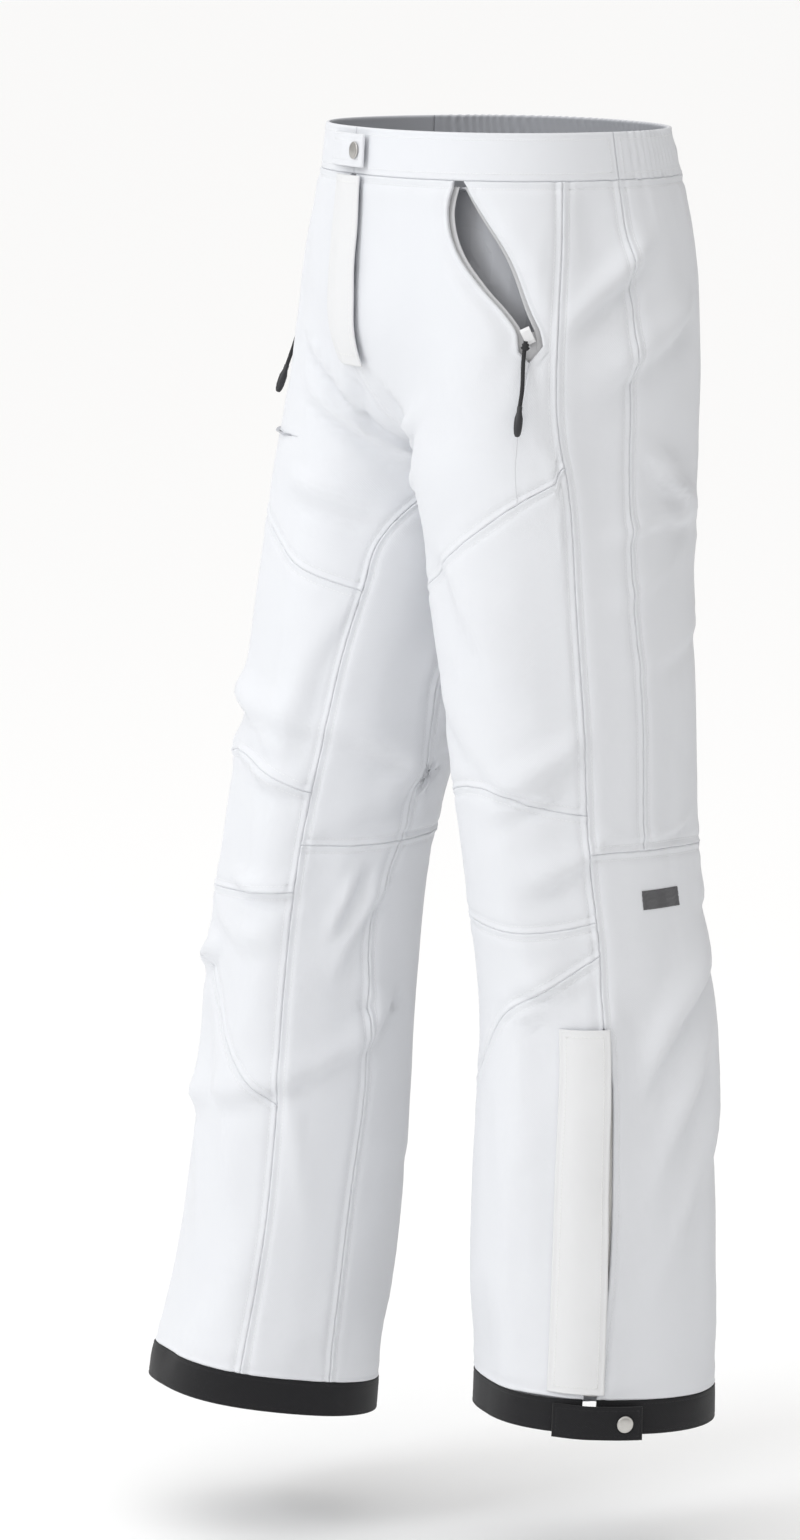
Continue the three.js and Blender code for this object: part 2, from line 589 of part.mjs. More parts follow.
function buildWaistTab() {
  const liftAt = (s) => WAISTBAND_PROUD + THREE.MathUtils.lerp(FLAP_ROOT_CLEAR, WAIST_TAB.lift, THREE.MathUtils.smoothstep(s, 0, 0.5));
  add('waist_tab', patch('left', {
    left: () => WAIST_TAB.root, right: () => WAIST_TAB.edge,
    bottom: () => WAIST_TAB.bottom, top: () => WAIST_TAB.top,
    faces: (s) => [liftAt(s), liftAt(s) + WAIST_TAB.thickness], cells: [6, 1], gap: 0,
  }), SHELL);
  const u = WAIST_TAB.edge - 0.022;
  const v = (WAIST_TAB.bottom + WAIST_TAB.top) / 2;
  const capSeat = WAISTBAND_PROUD + WAIST_TAB.lift + WAIST_TAB.thickness + SNAP.gap + SNAP.thickness / 2;
  add('waist_snap_cap', disc(SNAP.radius, SNAP.thickness).applyMatrix4(placeOn('left', u, v, capSeat)), SNAP_METAL);
  const studSeat = WAISTBAND_PROUD + SNAP.gap + SNAP.studThickness / 2;
  add('waist_snap_stud', disc(SNAP.studRadius, SNAP.studThickness).applyMatrix4(placeOn('left', u, v, studSeat)), SNAP_METAL);
}

function buildFly() {
  const line = () => 0;
  add('fly_zip_tape', zipTape('left', line, level(FLY_BOTTOM + 10), level(FLY_TOP), 5), GREY_TAPE);
  const v = FLY_TOP - SLIDER.length / 2 - 2;
  add('fly_zip_slider', sliderBody().applyMatrix4(placeOn('left', 0, v, SLIDER.seat)), WHITE_SLIDER);
  add('fly_zip_pull', pullPlate().applyMatrix4(placeOn('left', 0, v, PULL.seat)), WHITE_SLIDER);
  add('fly_flap', patch('left', {
    left: () => FLY_FLAP.root, right: () => FLY_FLAP.edge, bottom: level(FLY_BOTTOM - 8), top: level(-WAISTBAND_HEIGHT - 1),
    faces: (s) => {
      const inner = THREE.MathUtils.lerp(FLAP_ROOT_CLEAR, FLAP_CLEAR, THREE.MathUtils.smoothstep(s, 0, 0.5));
      return [inner, inner + FLAP_THICKNESS];
    },
    cells: [6, 6], gap: 0,
  }), SHELL);
}

for (const side of ['left', 'right']) {
  buildUpperPanels(side);
  buildKneePanels(side);
  buildShinPanels(side);
  buildGaiter(side);
  buildLegZip(side);
  buildStormFlap(side);
  buildHemTab(side);
  buildPocket(side);
}
buildWaistband();
buildWaistTab();
buildFly();

export default trousers;
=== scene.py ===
# %% [markdown]
# # Insulated ski pants
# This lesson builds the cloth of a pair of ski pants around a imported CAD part. The CAD part
# fixes the sizes and the moving bodies. Everything here is made by code, so every panel can be
# cut, sewn and folded again with other numbers.

import math

import bmesh
import bpy
import numpy as np
from mathutils import Matrix, Vector


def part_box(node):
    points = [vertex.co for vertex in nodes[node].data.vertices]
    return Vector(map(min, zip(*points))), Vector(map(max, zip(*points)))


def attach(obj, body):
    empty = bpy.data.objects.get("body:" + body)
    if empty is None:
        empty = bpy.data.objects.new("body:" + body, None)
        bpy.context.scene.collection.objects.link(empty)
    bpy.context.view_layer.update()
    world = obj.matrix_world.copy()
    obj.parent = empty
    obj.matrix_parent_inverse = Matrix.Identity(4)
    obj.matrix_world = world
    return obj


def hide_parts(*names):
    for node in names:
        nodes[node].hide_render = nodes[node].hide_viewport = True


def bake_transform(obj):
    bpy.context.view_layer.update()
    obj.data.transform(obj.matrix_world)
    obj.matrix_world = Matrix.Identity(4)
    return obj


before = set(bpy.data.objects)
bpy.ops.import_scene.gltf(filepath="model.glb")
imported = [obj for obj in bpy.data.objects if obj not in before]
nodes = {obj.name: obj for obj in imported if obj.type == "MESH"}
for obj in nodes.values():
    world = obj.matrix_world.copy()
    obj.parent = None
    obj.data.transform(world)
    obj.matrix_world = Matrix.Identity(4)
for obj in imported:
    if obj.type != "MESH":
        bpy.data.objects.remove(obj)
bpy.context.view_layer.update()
MM = 0.001
SIDES = ("left", "right")
SIGN = {"left": 1.0, "right": -1.0}

# %% [markdown]
# ## Camera
# The pants are seen from the wearer's front left, a little from above, with a long lens, so
# the legs keep their true proportions. The camera is placed on a sphere round its aim point.

# %% Camera
AIM = Vector((0.0, -0.078, -0.474))
AZIMUTH, ELEVATION = math.radians(65), math.radians(9)
DISTANCE = 4.3
LENS_MM, SENSOR_MM, SEEN_TO = 136, 36, 400


def direction_to(azimuth, elevation):
    """Unit vector from the pants to a camera or light."""
    flat = math.cos(elevation)
    return Vector((math.sin(azimuth) * flat, -math.cos(azimuth) * flat, math.sin(elevation)))


back = direction_to(AZIMUTH, ELEVATION)
camera = bpy.data.objects.new("camera", bpy.data.cameras.new("camera"))
camera.data.lens = LENS_MM
camera.data.clip_end = SEEN_TO
camera.data.sensor_fit = "VERTICAL"
camera.data.sensor_height = SENSOR_MM
camera.location = AIM + back * DISTANCE
camera.rotation_euler = back.to_track_quat("Z", "Y").to_euler()
bpy.context.scene.collection.objects.link(camera)
bpy.context.scene.camera = camera
print("camera at", [round(x, 3) for x in camera.location])

# %% [markdown]
# ## The surface that every panel is cut from
# A sewn garment is one skin divided by seams. The skin is described by a place round the body
# `u` and a height `v`. Below the crotch `u` runs once round each leg, from its inside (0) over
# the front (0.25), the outer side (0.5) and the back (0.75). Above it, `u` runs from centre
# front to centre back on each half. The leg's sections are measured from the CAD panels.

# %% Measure the leg sections
CROTCH, RISE_BAND, THIGH_BLEND = -240.0, 100.0, -420.0
SHELL_NODES = ("front_thigh_upper", "front_thigh_lower", "side_panel", "back_thigh", "inner_thigh",
               "knee_front", "knee_lower", "knee_back", "front_shin", "calf", "inner_shin")
HEIGHTS = (-905, -870, -760, -640, -548, -420, -320, -241)


def slice_points(side, z):
    """Points where the CAD shell panels of one leg cross the level z."""
    found = []
    for name in SHELL_NODES:
        mesh = nodes[f"{side}_{name}"].data
        co = np.array([p.co for p in mesh.vertices]).reshape(-1, 3) / MM
        edges = np.array([e.vertices[:] for e in mesh.edges])
        a, b = co[edges[:, 0]], co[edges[:, 1]]
        cross = (a[:, 2] - z) * (b[:, 2] - z) < 0
        a, b = a[cross], b[cross]
        t = ((z - a[:, 2]) / (b[:, 2] - a[:, 2]))[:, None]
        found.append(a + (b - a) * t)
    return np.vstack(found)


def leg_rows(side):
    rows = []
    for z in HEIGHTS:
        points = slice_points(side, z)
        low, high = points.min(0), points.max(0)
        centre, half = (low + high) / 2, (high - low) / 2
        rows.append((z, abs(centre[0]), half[0], centre[1], half[1]))
    lowest, next_up = np.array(rows[0]), np.array(rows[1])
    below = lowest + (lowest - next_up) * ((-1000 - lowest[0]) / (lowest[0] - next_up[0]))
    return np.array([below] + rows)


LEG = {side: leg_rows(side) for side in SIDES}
# Height, half width, depth to the front and depth to the rear.
HIP = np.array([(-240, 182, 120, 128), (-175, 180, 122, 142), (-110, 172, 120.5, 138),
                (-40, 158, 115, 122), (0, 150, 112, 112)], float)
for side in SIDES:
    print(side, "leg sections (height, centre x, half width, centre y, half depth)")
    print(np.round(LEG[side], 1))

# %% Smooth tables


def smooth(rows):
    """A smooth curve through rows of (x, values...), as a function of an array."""
    rows = np.array(rows, float)
    xs, ys = rows[:, 0], rows[:, 1:]
    slope = np.gradient(ys, xs, axis=0)

    def at(x):
        x = np.clip(np.asarray(x, float), xs[0], xs[-1])
        i = np.clip(np.searchsorted(xs, x) - 1, 0, len(xs) - 2)
        h = xs[i + 1] - xs[i]
        t = ((x - xs[i]) / h)[..., None]
        h = h[..., None]
        y = ((2 * t**3 - 3 * t**2 + 1) * ys[i] + (t**3 - 2 * t**2 + t) * h * slope[i]
             + (3 * t**2 - 2 * t**3) * ys[i + 1] + (t**3 - t**2) * h * slope[i + 1])
        return y[..., 0] if ys.shape[1] == 1 else y

    return at


leg_section = {side: smooth(LEG[side]) for side in SIDES}
hip_section = smooth(HIP)

# %% The surface function
LEG_POWER, HIP_POWER, CENTRE_GAP = 2.25, 2.3, 0.4
FRONT_RISE, BACK_RISE, SIDE_RISE = 0.42, 0.62, 0.38


def height_of(v):
    """Height of cloth row v. Rows crowd together just above the crotch."""
    x = (v - CROTCH) / RISE_BAND
    bent = CROTCH + RISE_BAND * (1 - np.cos(np.pi / 2 * np.clip(x, 0, 1)))
    return np.where((x <= 0) | (x >= 1), v, bent)


def cloth_height(z):
    x = (np.asarray(z, float) - CROTCH) / RISE_BAND
    bent = CROTCH + RISE_BAND * (2 / np.pi) * np.arccos(np.clip(1 - x, -1, 1))
    return np.where((x <= 0) | (x >= 1), z, bent)


def leg_ring(side, u, z):
    cx, half_width, cy, half_depth = np.moveaxis(leg_section[side](z), -1, 0)
    c, s = np.cos(2 * np.pi * u), np.sin(2 * np.pi * u)
    r = (np.abs(c)**LEG_POWER + np.abs(s)**LEG_POWER)**(-1 / LEG_POWER)
    near = np.clip((z - THIGH_BLEND) / (CROTCH - THIGH_BLEND), 0, 1)**2
    shift = -cy * (0.5 + 0.5 * c)**2 * near
    return cx - half_width * c * r, cy - half_depth * s * r + shift


def hip_ring(u, z):
    half_width, front, rear = np.moveaxis(hip_section(z), -1, 0)
    s, c = np.sin(np.pi * u), np.cos(np.pi * u)
    r = (np.abs(c)**HIP_POWER + np.abs(s)**HIP_POWER)**(-1 / HIP_POWER)
    return CENTRE_GAP + (half_width - CENTRE_GAP) * s * r, np.where(c > 0, -front, -rear) * c * r


def rise_share(u, w):
    side_part = np.sin(np.pi * u)
    reach = FRONT_RISE + (BACK_RISE - FRONT_RISE) * u
    round_part = np.sqrt(1 - (1 - np.clip(w / reach, 0, 1))**2)
    t = np.clip(w / (reach + SIDE_RISE * side_part), 0, 1)
    return (1 - side_part) * round_part + side_part * t * t * (3 - 2 * t)


def surface(side, place, v):
    """Points of the outer skin in millimetres, eased over the crotch level, where the leg's
    shape and the hip's shape meet at a slight angle."""
    place, v = np.broadcast_arrays(np.asarray(place, float), np.asarray(v, float))
    reach = 14 * np.clip(2.1 * np.sin(np.pi * place), 0, 1)**2 * np.clip(1 - ((v - CROTCH) / 60)**2, 0, 1)
    total = 0
    for k, share in ((-2, .12), (-1, .23), (0, .30), (1, .23), (2, .12)):
        total = total + share * raw_surface(side, place, v + k * reach)
    return total


def raw_surface(side, place, v):
    """Points of the skin before easing. Above the crotch, places under 0 and over 1 run on
    over the other half."""
    place, v = np.broadcast_arrays(np.asarray(place, float), np.asarray(v, float))
    z = height_of(v)
    x_leg, y_leg = leg_ring(side, place, z)
    out = np.stack([SIGN[side] * x_leg, y_leg, z], -1)
    above = v > CROTCH
    if above.any():
        crossed = (place < 0) | (place > 1)
        u = np.where(place < 0, -place, np.where(place > 1, 2 - place, place))
        for half, use in ((side, above & ~crossed), ("right" if side == "left" else "left", above & crossed)):
            if not use.any():
                continue
            lx, ly = leg_ring(half, u[use], np.full(use.sum(), CROTCH))
            hx, hy = hip_ring(u[use], z[use])
            share = rise_share(u[use], (z[use] - CROTCH) / -CROTCH)
            out[use] = np.stack([SIGN[half] * (lx + (hx - lx) * share), ly + (hy - ly) * share, z[use]], -1)
    return out


def tangents(side, u, v):
    """Unit vectors across, along and out of the cloth, and millimetres per unit of u."""
    du, dv = 0.003, 1.5
    across = surface(side, u + du, v) - surface(side, u - du, v)
    along = surface(side, u, np.minimum(v + dv, 0)) - surface(side, u, v - dv)
    girth = np.linalg.norm(across, axis=-1) / (2 * du)
    across = across / np.linalg.norm(across, axis=-1, keepdims=True)
    along = along / np.linalg.norm(along, axis=-1, keepdims=True)
    out = np.cross(across, along) * SIGN[side]
    out = out / np.linalg.norm(out, axis=-1, keepdims=True)
    return across, along, out, girth


def soft_normal(side, u, v):
    """The direction out of the cloth, averaged over 36 mm of height at the crotch level, so
    that folds on either side of the bend there don't run into each other."""
    z = height_of(v)
    reach = 9 * np.clip(1 - ((z - CROTCH) / 48)**2, 0, 1)
    total = sum(tangents(side, u, cloth_height(np.minimum(z + k * reach, -1e-3)))[2] for k in (-2, -1, 0, 1, 2))
    return total / np.linalg.norm(total, axis=-1, keepdims=True)


waist = surface("left", np.array([0.0, 0.5, 1.0]), np.zeros(3))
print("waist: front", np.round(waist[0], 1), "side", np.round(waist[1], 1), "back", np.round(waist[2], 1))

# %% [markdown]
# ## Seam lines
# The seams are the design of the pants: a long side panel, a slanted thigh seam, knee darts, a
# seam behind the knee and a narrow panel up the inside of the leg. Each is a smooth line in
# `u` and `v`, and the two panels that meet there share it.

# %% Seam lines
side_front = smooth([(-960, .425), (-873, .434), (-828, .441), (-714, .443), (-645, .438), (-590, .448),
                     (-500, .447), (-400, .452), (-230, .452), (-140, .43), (0, .438)])
side_rear = smooth([(-520, .54), (-405, .545), (-320, .537), (-147, .538), (-90, .55), (0, .555)])
inner_front = smooth([(-1000, .1), (-640, .1), (-340, .097), (-303, .098), (-270, .062), (-250, .018), (-240, .001)])
inner_back = smooth([(-1000, .966), (-770, .962), (-700, .946), (-590, .955), (-520, .925), (-390, .942),
                     (-320, .95), (-270, .97), (-250, .985), (-240, .999)])
thigh_seam_z = smooth([(0, -356), (.096, -342), (.229, -318), (.34, -282), (.454, -234), (.537, -195), (.6, -180)])
knee_top = smooth([(0, -500), (.1, -492), (.188, -477), (.312, -470), (.379, -482), (.46, -489)])
knee_middle = smooth([(0, -566), (.1, -567), (.22, -571), (.392, -572), (.46, -566)])
knee_low = smooth([(0, -745), (.1, -728), (.16, -706), (.221, -676), (.271, -645), (.362, -616), (.46, -588)])
knee_back = smooth([(.4, -516), (.642, -518), (.88, -530), (1.0, -534), (1.12, -531)])
pocket_front = smooth([(-152, .379), (-138, .37), (-126, .346), (-108, .296), (-90, .254), (-57, .226), (-34, .238)])
pocket_rear = smooth([(-152, .414), (-138, .405), (-126, .39), (-90, .345), (-57, .287), (-34, .255)])
HEM = {"left": (-947, 7), "right": (-965, 15)}
HEM_HEIGHT, BAND = 26.0, -34.0
ZIP_TOP, ZIP_SLOT = -650.0, 9.2


def thigh_seam(u):
    return cloth_height(thigh_seam_z(u))


def hem_bottom(side):
    middle, tilt = HEM[side]
    return lambda u: middle + tilt * np.sin(2 * np.pi * u)


def hem_top(side):
    return lambda u: hem_bottom(side)(u) + HEM_HEIGHT


def level(height):
    return lambda u: np.full(np.shape(u), float(height))


def step(x, low, high):
    t = np.clip((x - low) / (high - low), 0, 1)
    return t * t * (3 - 2 * t)


GIRTH = 520.0


def zip_edge(way):
    """Edge of the slot over the leg zip. It closes above the top of the zip."""
    return lambda v: side_front(v) + way * (1 - step(v, ZIP_TOP - 2, ZIP_TOP + 3)) * ZIP_SLOT / 2 / GIRTH


def centre_front(v):
    fly = step(v, -160, -152) * ZIP_SLOT / 2 / 560
    return np.where(v > CROTCH, fly, inner_front(v))


def centre_back(v):
    return np.where(v > CROTCH, 1.0, inner_back(v))


print("hem tilt", HEM, "band at", BAND)

# %% [markdown]
# ## Folds
# Insulated cloth makes long soft folds where it is pulled, and short puckers along its seams.
# Two ways are combined. A cloth simulation lets the whole garment buckle, because its cloth is
# cut a little longer than the shape it hangs in. On top of it come the drag lines that a
# standing stride makes: from the hip to the pocket, under the seat, round the knee and down
# the calf. Each is a ridge with a hollow beside it, along a short curve.

# %% Seeded noise


def noise_field(seed, cell_x, cell_y, wide=GIRTH, tall=1100.0):
    """Smooth noise over the cloth, about -1 to 1, that closes on itself round the leg."""
    columns, rows = max(3, int(round(wide / cell_x))), int(tall / cell_y) + 3
    values = np.random.RandomState(seed).uniform(-1, 1, (rows, columns))

    def at(u, v):
        x, y = (np.asarray(u, float) % 1.0) * columns, (np.asarray(v, float) + tall) / cell_y
        i, j = np.floor(x).astype(int), np.clip(np.floor(y).astype(int), 0, rows - 2)
        fx, fy = x - i, np.clip(y - j, 0, 1)
        fx, fy = fx * fx * (3 - 2 * fx), fy * fy * (3 - 2 * fy)
        a, b = values[j, i % columns], values[j, (i + 1) % columns]
        c, d = values[j + 1, i % columns], values[j + 1, (i + 1) % columns]
        return (a * (1 - fx) + b * fx) * (1 - fy) + (c * (1 - fx) + d * fx) * fy

    return at


def ripple(seed):
    """One-dimensional puckers along a seam: a few waves of unlike length added up."""
    random = np.random.RandomState(seed)
    waves = [(2 * np.pi / length, random.uniform(0, 2 * np.pi)) for length in (7.3, 10.9, 16.7, 27.1)]
    return lambda arc: sum(np.sin(k * arc + phase) for k, phase in waves) / 2.6


# %% Drag lines
# Each: points (u, v), height and width in millimetres.
FOLDS = {
    "left": [
        ([(.60, -78), (.52, -104), (.44, -136)], 4.6, 9), ([(.68, -120), (.58, -146), (.48, -182)], 4.0, 12),
        ([(.66, -268), (.60, -246), (.55, -226)], 5.0, 9), ([(.68, -276), (.58, -276), (.49, -296)], 5.5, 10),
        ([(.62, -306), (.55, -326), (.50, -338)], 2.6, 10), ([(.70, -352), (.60, -372), (.52, -388)], 2.0, 12),
        ([(.46, -430), (.40, -450), (.30, -476)], 3.2, 9), ([(.44, -452), (.36, -478), (.27, -494)], 2.2, 7),
        ([(.50, -500), (.43, -522), (.34, -540)], 3.0, 10), ([(.66, -492), (.56, -506), (.47, -500)], 2.8, 7),
        ([(.19, -586), (.30, -606), (.40, -616)], 5.4, 9), ([(.24, -616), (.31, -630), (.38, -640)], 4.4, 7),
        ([(.70, -590), (.57, -640), (.49, -706)], 4.4, 13), ([(.64, -655), (.56, -720), (.50, -800)], 3.8, 14),
        ([(.60, -745), (.55, -812), (.50, -872)], 3.4, 13), ([(.74, -600), (.68, -690), (.60, -780)], 2.4, 16),
        ([(.21, -280), (.30, -330), (.36, -400)], 2.2, 18), ([(.20, -400), (.30, -446), (.40, -474)], 2.4, 12),
        ([(.24, -665), (.29, -735), (.31, -815)], 2.0, 14), ([(.35, -690), (.345, -770), (.355, -865)], 1.6, 10),
        ([(.34, -648), (.38, -662), (.43, -666)], 2.2, 6), ([(.05, -300), (.14, -262), (.24, -236)], 3.0, 10),
        ([(.03, -268), (.12, -226), (.22, -196)], 3.0, 9), ([(.03, -170), (.10, -200), (.19, -226)], 2.2, 9),
        ([(.80, -300), (.88, -280), (.96, -262)], 4.0, 10), ([(.78, -330), (.86, -318), (.95, -296)], 3.0, 10),
        ([(.84, -520), (.76, -545), (.66, -560)], 3.0, 9), ([(.90, -560), (.80, -590), (.70, -600)], 2.6, 10),
    ],
    "right": [
        ([(.05, -262), (.12, -222), (.22, -190)], 3.6, 9), ([(.04, -232), (.11, -190), (.19, -150)], 3.0, 8),
        ([(.05, -300), (.15, -276), (.26, -262)], 3.0, 11), ([(.03, -150), (.08, -186), (.12, -224)], 2.4, 8),
        ([(.30, -468), (.20, -480), (.10, -494)], 4.0, 8), ([(.33, -420), (.24, -448), (.14, -462)], 2.6, 10),
        ([(.26, -560), (.17, -566), (.09, -566)], 3.2, 7), ([(.30, -590), (.20, -604), (.11, -600)], 2.4, 9),
        ([(.10, -340), (.14, -400), (.16, -470)], 2.0, 14), ([(.98, -400), (.04, -450), (.08, -520)], 2.4, 13),
        ([(.99, -545), (1.01, -575), (1.03, -600)], 3.4, 6), ([(.93, -560), (.98, -590), (1.02, -640)], 2.6, 9),
        ([(.05, -620), (.03, -700), (.98, -780)], 2.2, 12), ([(.10, -690), (.06, -770), (.03, -850)], 1.8, 12),
        ([(.28, -650), (.20, -740), (.16, -830)], 2.0, 15), ([(.34, -700), (.27, -790), (.22, -880)], 2.2, 14),
        ([(.80, -300), (.88, -282), (.96, -262)], 3.4, 10), ([(.64, -268), (.58, -250), (.53, -228)], 3.4, 9),
        ([(.60, -78), (.50, -104), (.42, -136)], 2.6, 9), ([(.66, -640), (.56, -700), (.48, -770)], 2.6, 14),
        ([(.70, -720), (.60, -790), (.50, -850)], 2.2, 14), ([(.84, -520), (.76, -545), (.66, -560)], 3.0, 9),
        ([(.46, -440), (.40, -458), (.32, -476)], 2.8, 9), ([(.26, -610), (.32, -628), (.40, -640)], 3.0, 8),
    ],
}


def fold_height(u, v, line, height, width):
    """Height of one drag line: a ridge with a shallower hollow under it, fading at its ends."""
    (u0, v0), (u1, v1), (u2, v2) = line
    t = np.linspace(0, 1, 9)
    line_u = (1 - t)**2 * u0 + 2 * t * (1 - t) * (2 * u1 - (u0 + u2) / 2) + t**2 * u2
    line_v = (1 - t)**2 * v0 + 2 * t * (1 - t) * (2 * v1 - (v0 + v2) / 2) + t**2 * v2
    best = np.full(np.shape(u), 1e9)
    signed, along = np.zeros(np.shape(u)), np.zeros(np.shape(u))
    for k in range(len(t) - 1):
        dx = ((u - line_u[k] + 0.5) % 1.0 - 0.5) * GIRTH
        dy = v - line_v[k]
        sx, sy = (line_u[k + 1] - line_u[k]) * GIRTH, line_v[k + 1] - line_v[k]
        length = math.hypot(sx, sy)
        part = (dx * sx + dy * sy) / length**2
        near = np.clip(part, 0, 1)
        distance = np.hypot(dx - near * sx, dy - near * sy)
        closer = distance < best
        best = np.where(closer, distance, best)
        signed = np.where(closer, (dx * sy - dy * sx) / length * (1 if sx < 0 else -1), signed)
        along = np.where(closer, (k + part) / (len(t) - 1), along)
    fade = step(along, -0.12, 0.3) * (1 - step(along, 0.7, 1.12))
    across = np.where(best > np.abs(signed) + 1e-6, np.copysign(best, signed), signed)
    ridge = np.exp(-(across / (width * np.where(across < 0, 0.75, 1.25)))**2)
    hollow = np.exp(-((across + 1.25 * width) / (0.8 * width))**2)
    return height * fade * (ridge - 0.6 * hollow)


broad = {"left": noise_field(3, 74, 118), "right": noise_field(11, 74, 118)}
medium = {"left": noise_field(5, 30, 46), "right": noise_field(13, 30, 46)}


# Every drag line is scaled by the first, and is no higher than the second times its width.
FOLD_DEPTH, STEEPEST = 2.1, 0.8


def folds(side, u, v):
    """All shaped folds together, in millimetres out of the skin."""
    v = height_of(v)
    knee = np.exp(-((v + 560) / 110)**2) + 0.8 * np.exp(-((v + 260) / 70)**2) * step(u, .45, .6)
    creased = 0.5 - np.abs(medium[side](u, v))
    total = 2.0 * broad[side](u, v) + (0.9 + 1.5 * knee) * creased
    for line, height, width in FOLDS[side]:
        total = total + fold_height(u, v, line, min(FOLD_DEPTH * height, STEEPEST * width), width)
    calm = step(v, -960, -930) * (1 - step(v, -60, BAND))
    from_centre = np.minimum(np.abs(u), np.abs(1 - u)) * GIRTH
    centre = 1 - (1 - step(from_centre, 0, 30)) * step(v, CROTCH - 30, CROTCH)
    return total * (0.2 + 0.8 * calm) * centre


print("drag lines:", {side: len(FOLDS[side]) for side in SIDES})

# %% [markdown]
# ## Let the whole garment buckle
# One coarse net of the whole skin, both legs joined at the crotch, goes through Blender's cloth
# simulation. Its rest lengths are a few percent longer than the shape it starts from, so it has
# to buckle, as a lined pant that is cut with ease does. The waist and the hems are held, and
# weak springs keep the rest near its place. What is kept is only how far each point moved.

# %% Simulate
NET_U, NET_DROP = 44, 11.5
low_rows = np.linspace(-958, CROTCH, int((CROTCH + 958) / NET_DROP) + 1)
high_rows = cloth_height(np.linspace(CROTCH, BAND, int((BAND - CROTCH) / NET_DROP) + 1))[1:]
NET_V = np.concatenate([low_rows, high_rows])
CROTCH_ROW = len(low_rows) - 1


def net_index():
    """Vertex number of every net point, shared where the cloth is one."""
    index, count, shared = {}, 0, {}
    for side in SIDES:
        for j in range(len(NET_V)):
            for i in range(NET_U + 1):
                if j <= CROTCH_ROW:
                    key = ("crotch",) if j == CROTCH_ROW and i in (0, NET_U) else (side, i % NET_U, j)
                else:
                    key = ("centre", i, j) if i in (0, NET_U) else (side, i, j)
                if key not in shared:
                    shared[key] = count
                    count += 1
                index[side, i, j] = shared[key]
    return index, count


def simulate_garment(slack=1.09, frames=34):
    index, count = net_index()
    co = np.zeros((count, 3))
    weight = np.zeros(count)
    faces = []
    for side in SIDES:
        for j, v in enumerate(NET_V):
            ring = surface(side, np.linspace(0, 1, NET_U + 1), np.full(NET_U + 1, v))
            hold = 1.0 if j == len(NET_V) - 1 else 0.9 if j < 2 else 0.03
            for i in range(NET_U + 1):
                co[index[side, i, j]] = ring[i]
                weight[index[side, i, j]] = hold
        for j in range(len(NET_V) - 1):
            for i in range(NET_U):
                quad = [index[side, i, j], index[side, i + 1, j], index[side, i + 1, j + 1], index[side, i, j + 1]]
                quad = list(dict.fromkeys(quad))
                if len(quad) > 2:
                    faces.append(quad if side == "left" else quad[::-1])
    start = co.copy()
    mesh = bpy.data.meshes.new("net")
    mesh.from_pydata((co * MM).tolist(), [], faces)
    net = bpy.data.objects.new("net", mesh)
    bpy.context.scene.collection.objects.link(net)
    net.shape_key_add(name="Basis")
    rest = net.shape_key_add(name="rest")
    push = np.random.RandomState(7).normal(0, 0.0009, (count, 3))
    long_co = co * MM * np.array([1.0 + (slack - 1) * 0.6, 1.0 + (slack - 1) * 0.6, slack]) + push
    rest.data.foreach_set("co", long_co.ravel())
    rest.value = 0
    group = net.vertex_groups.new(name="hold")
    for value in np.unique(weight):
        group.add(np.flatnonzero(weight == value).tolist(), float(value), "REPLACE")
    cloth = net.modifiers.new("cloth", "CLOTH")
    cloth.settings.quality = 6
    cloth.settings.mass = 0.25
    cloth.settings.tension_stiffness = cloth.settings.compression_stiffness = 12
    cloth.settings.shear_stiffness = 6
    cloth.settings.bending_stiffness = 1.2
    cloth.settings.air_damping = 2
    cloth.settings.vertex_group_mass = "hold"
    cloth.settings.pin_stiffness = 0.8
    cloth.settings.rest_shape_key = rest
    cloth.settings.effector_weights.gravity = 0.25
    cloth.collision_settings.use_collision = False
    scene = bpy.context.scene
    cloth.point_cache.frame_start, cloth.point_cache.frame_end = 1, frames
    for f in range(1, frames + 1):
        scene.frame_set(f)
    depsgraph = bpy.context.evaluated_depsgraph_get()
    done = net.evaluated_get(depsgraph).to_mesh()
    moved = np.array([p.co for p in done.vertices]).reshape(-1, 3) / MM - start
    scene.frame_set(1)
    bpy.data.objects.remove(net)
    return index, moved


MOST_MOVED = 13.0
drift = {side: np.zeros((len(NET_V), NET_U + 1, 3)) for side in SIDES}
index, moved = simulate_garment()
size = np.linalg.norm(moved, axis=1)
print("simulated points moved: mean %.1f mm, most %.1f mm" % (size.mean(), size.max()))
moved = moved * np.minimum(1, MOST_MOVED / np.maximum(size, 1e-6))[:, None]
for (side, i, j), n in index.items():
    drift[side][j, i] = moved[n]
for side in SIDES:
    d = drift[side]
    # The buckled net is a little slimmer than the pants. Each row gets its girth back.
    rows_u, rows_v = np.meshgrid(np.linspace(0, 1, NET_U + 1), NET_V)
    out = soft_normal(side, rows_u, np.minimum(rows_v, -1e-3))
    slimmer = (d * out).sum(-1).mean(1)
    print(side, "girth given back, mm out: hip %.1f, knee %.1f" % (-slimmer[-6], -slimmer[len(NET_V) // 3]))
    d -= out * slimmer[:, None, None]
    for _ in range(3):
        inner = 0.5 * d[1:-1] + 0.25 * (d[2:] + d[:-2])
        d[1:-1] = inner
        ring = d[:CROTCH_ROW, :-1]
        ring[:] = 0.5 * ring + 0.25 * (np.roll(ring, 1, 1) + np.roll(ring, -1, 1))
        d[:CROTCH_ROW, -1] = d[:CROTCH_ROW, 0]
        d[CROTCH_ROW:, 1:-1] = 0.5 * d[CROTCH_ROW:, 1:-1] + 0.25 * (d[CROTCH_ROW:, 2:] + d[CROTCH_ROW:, :-2])


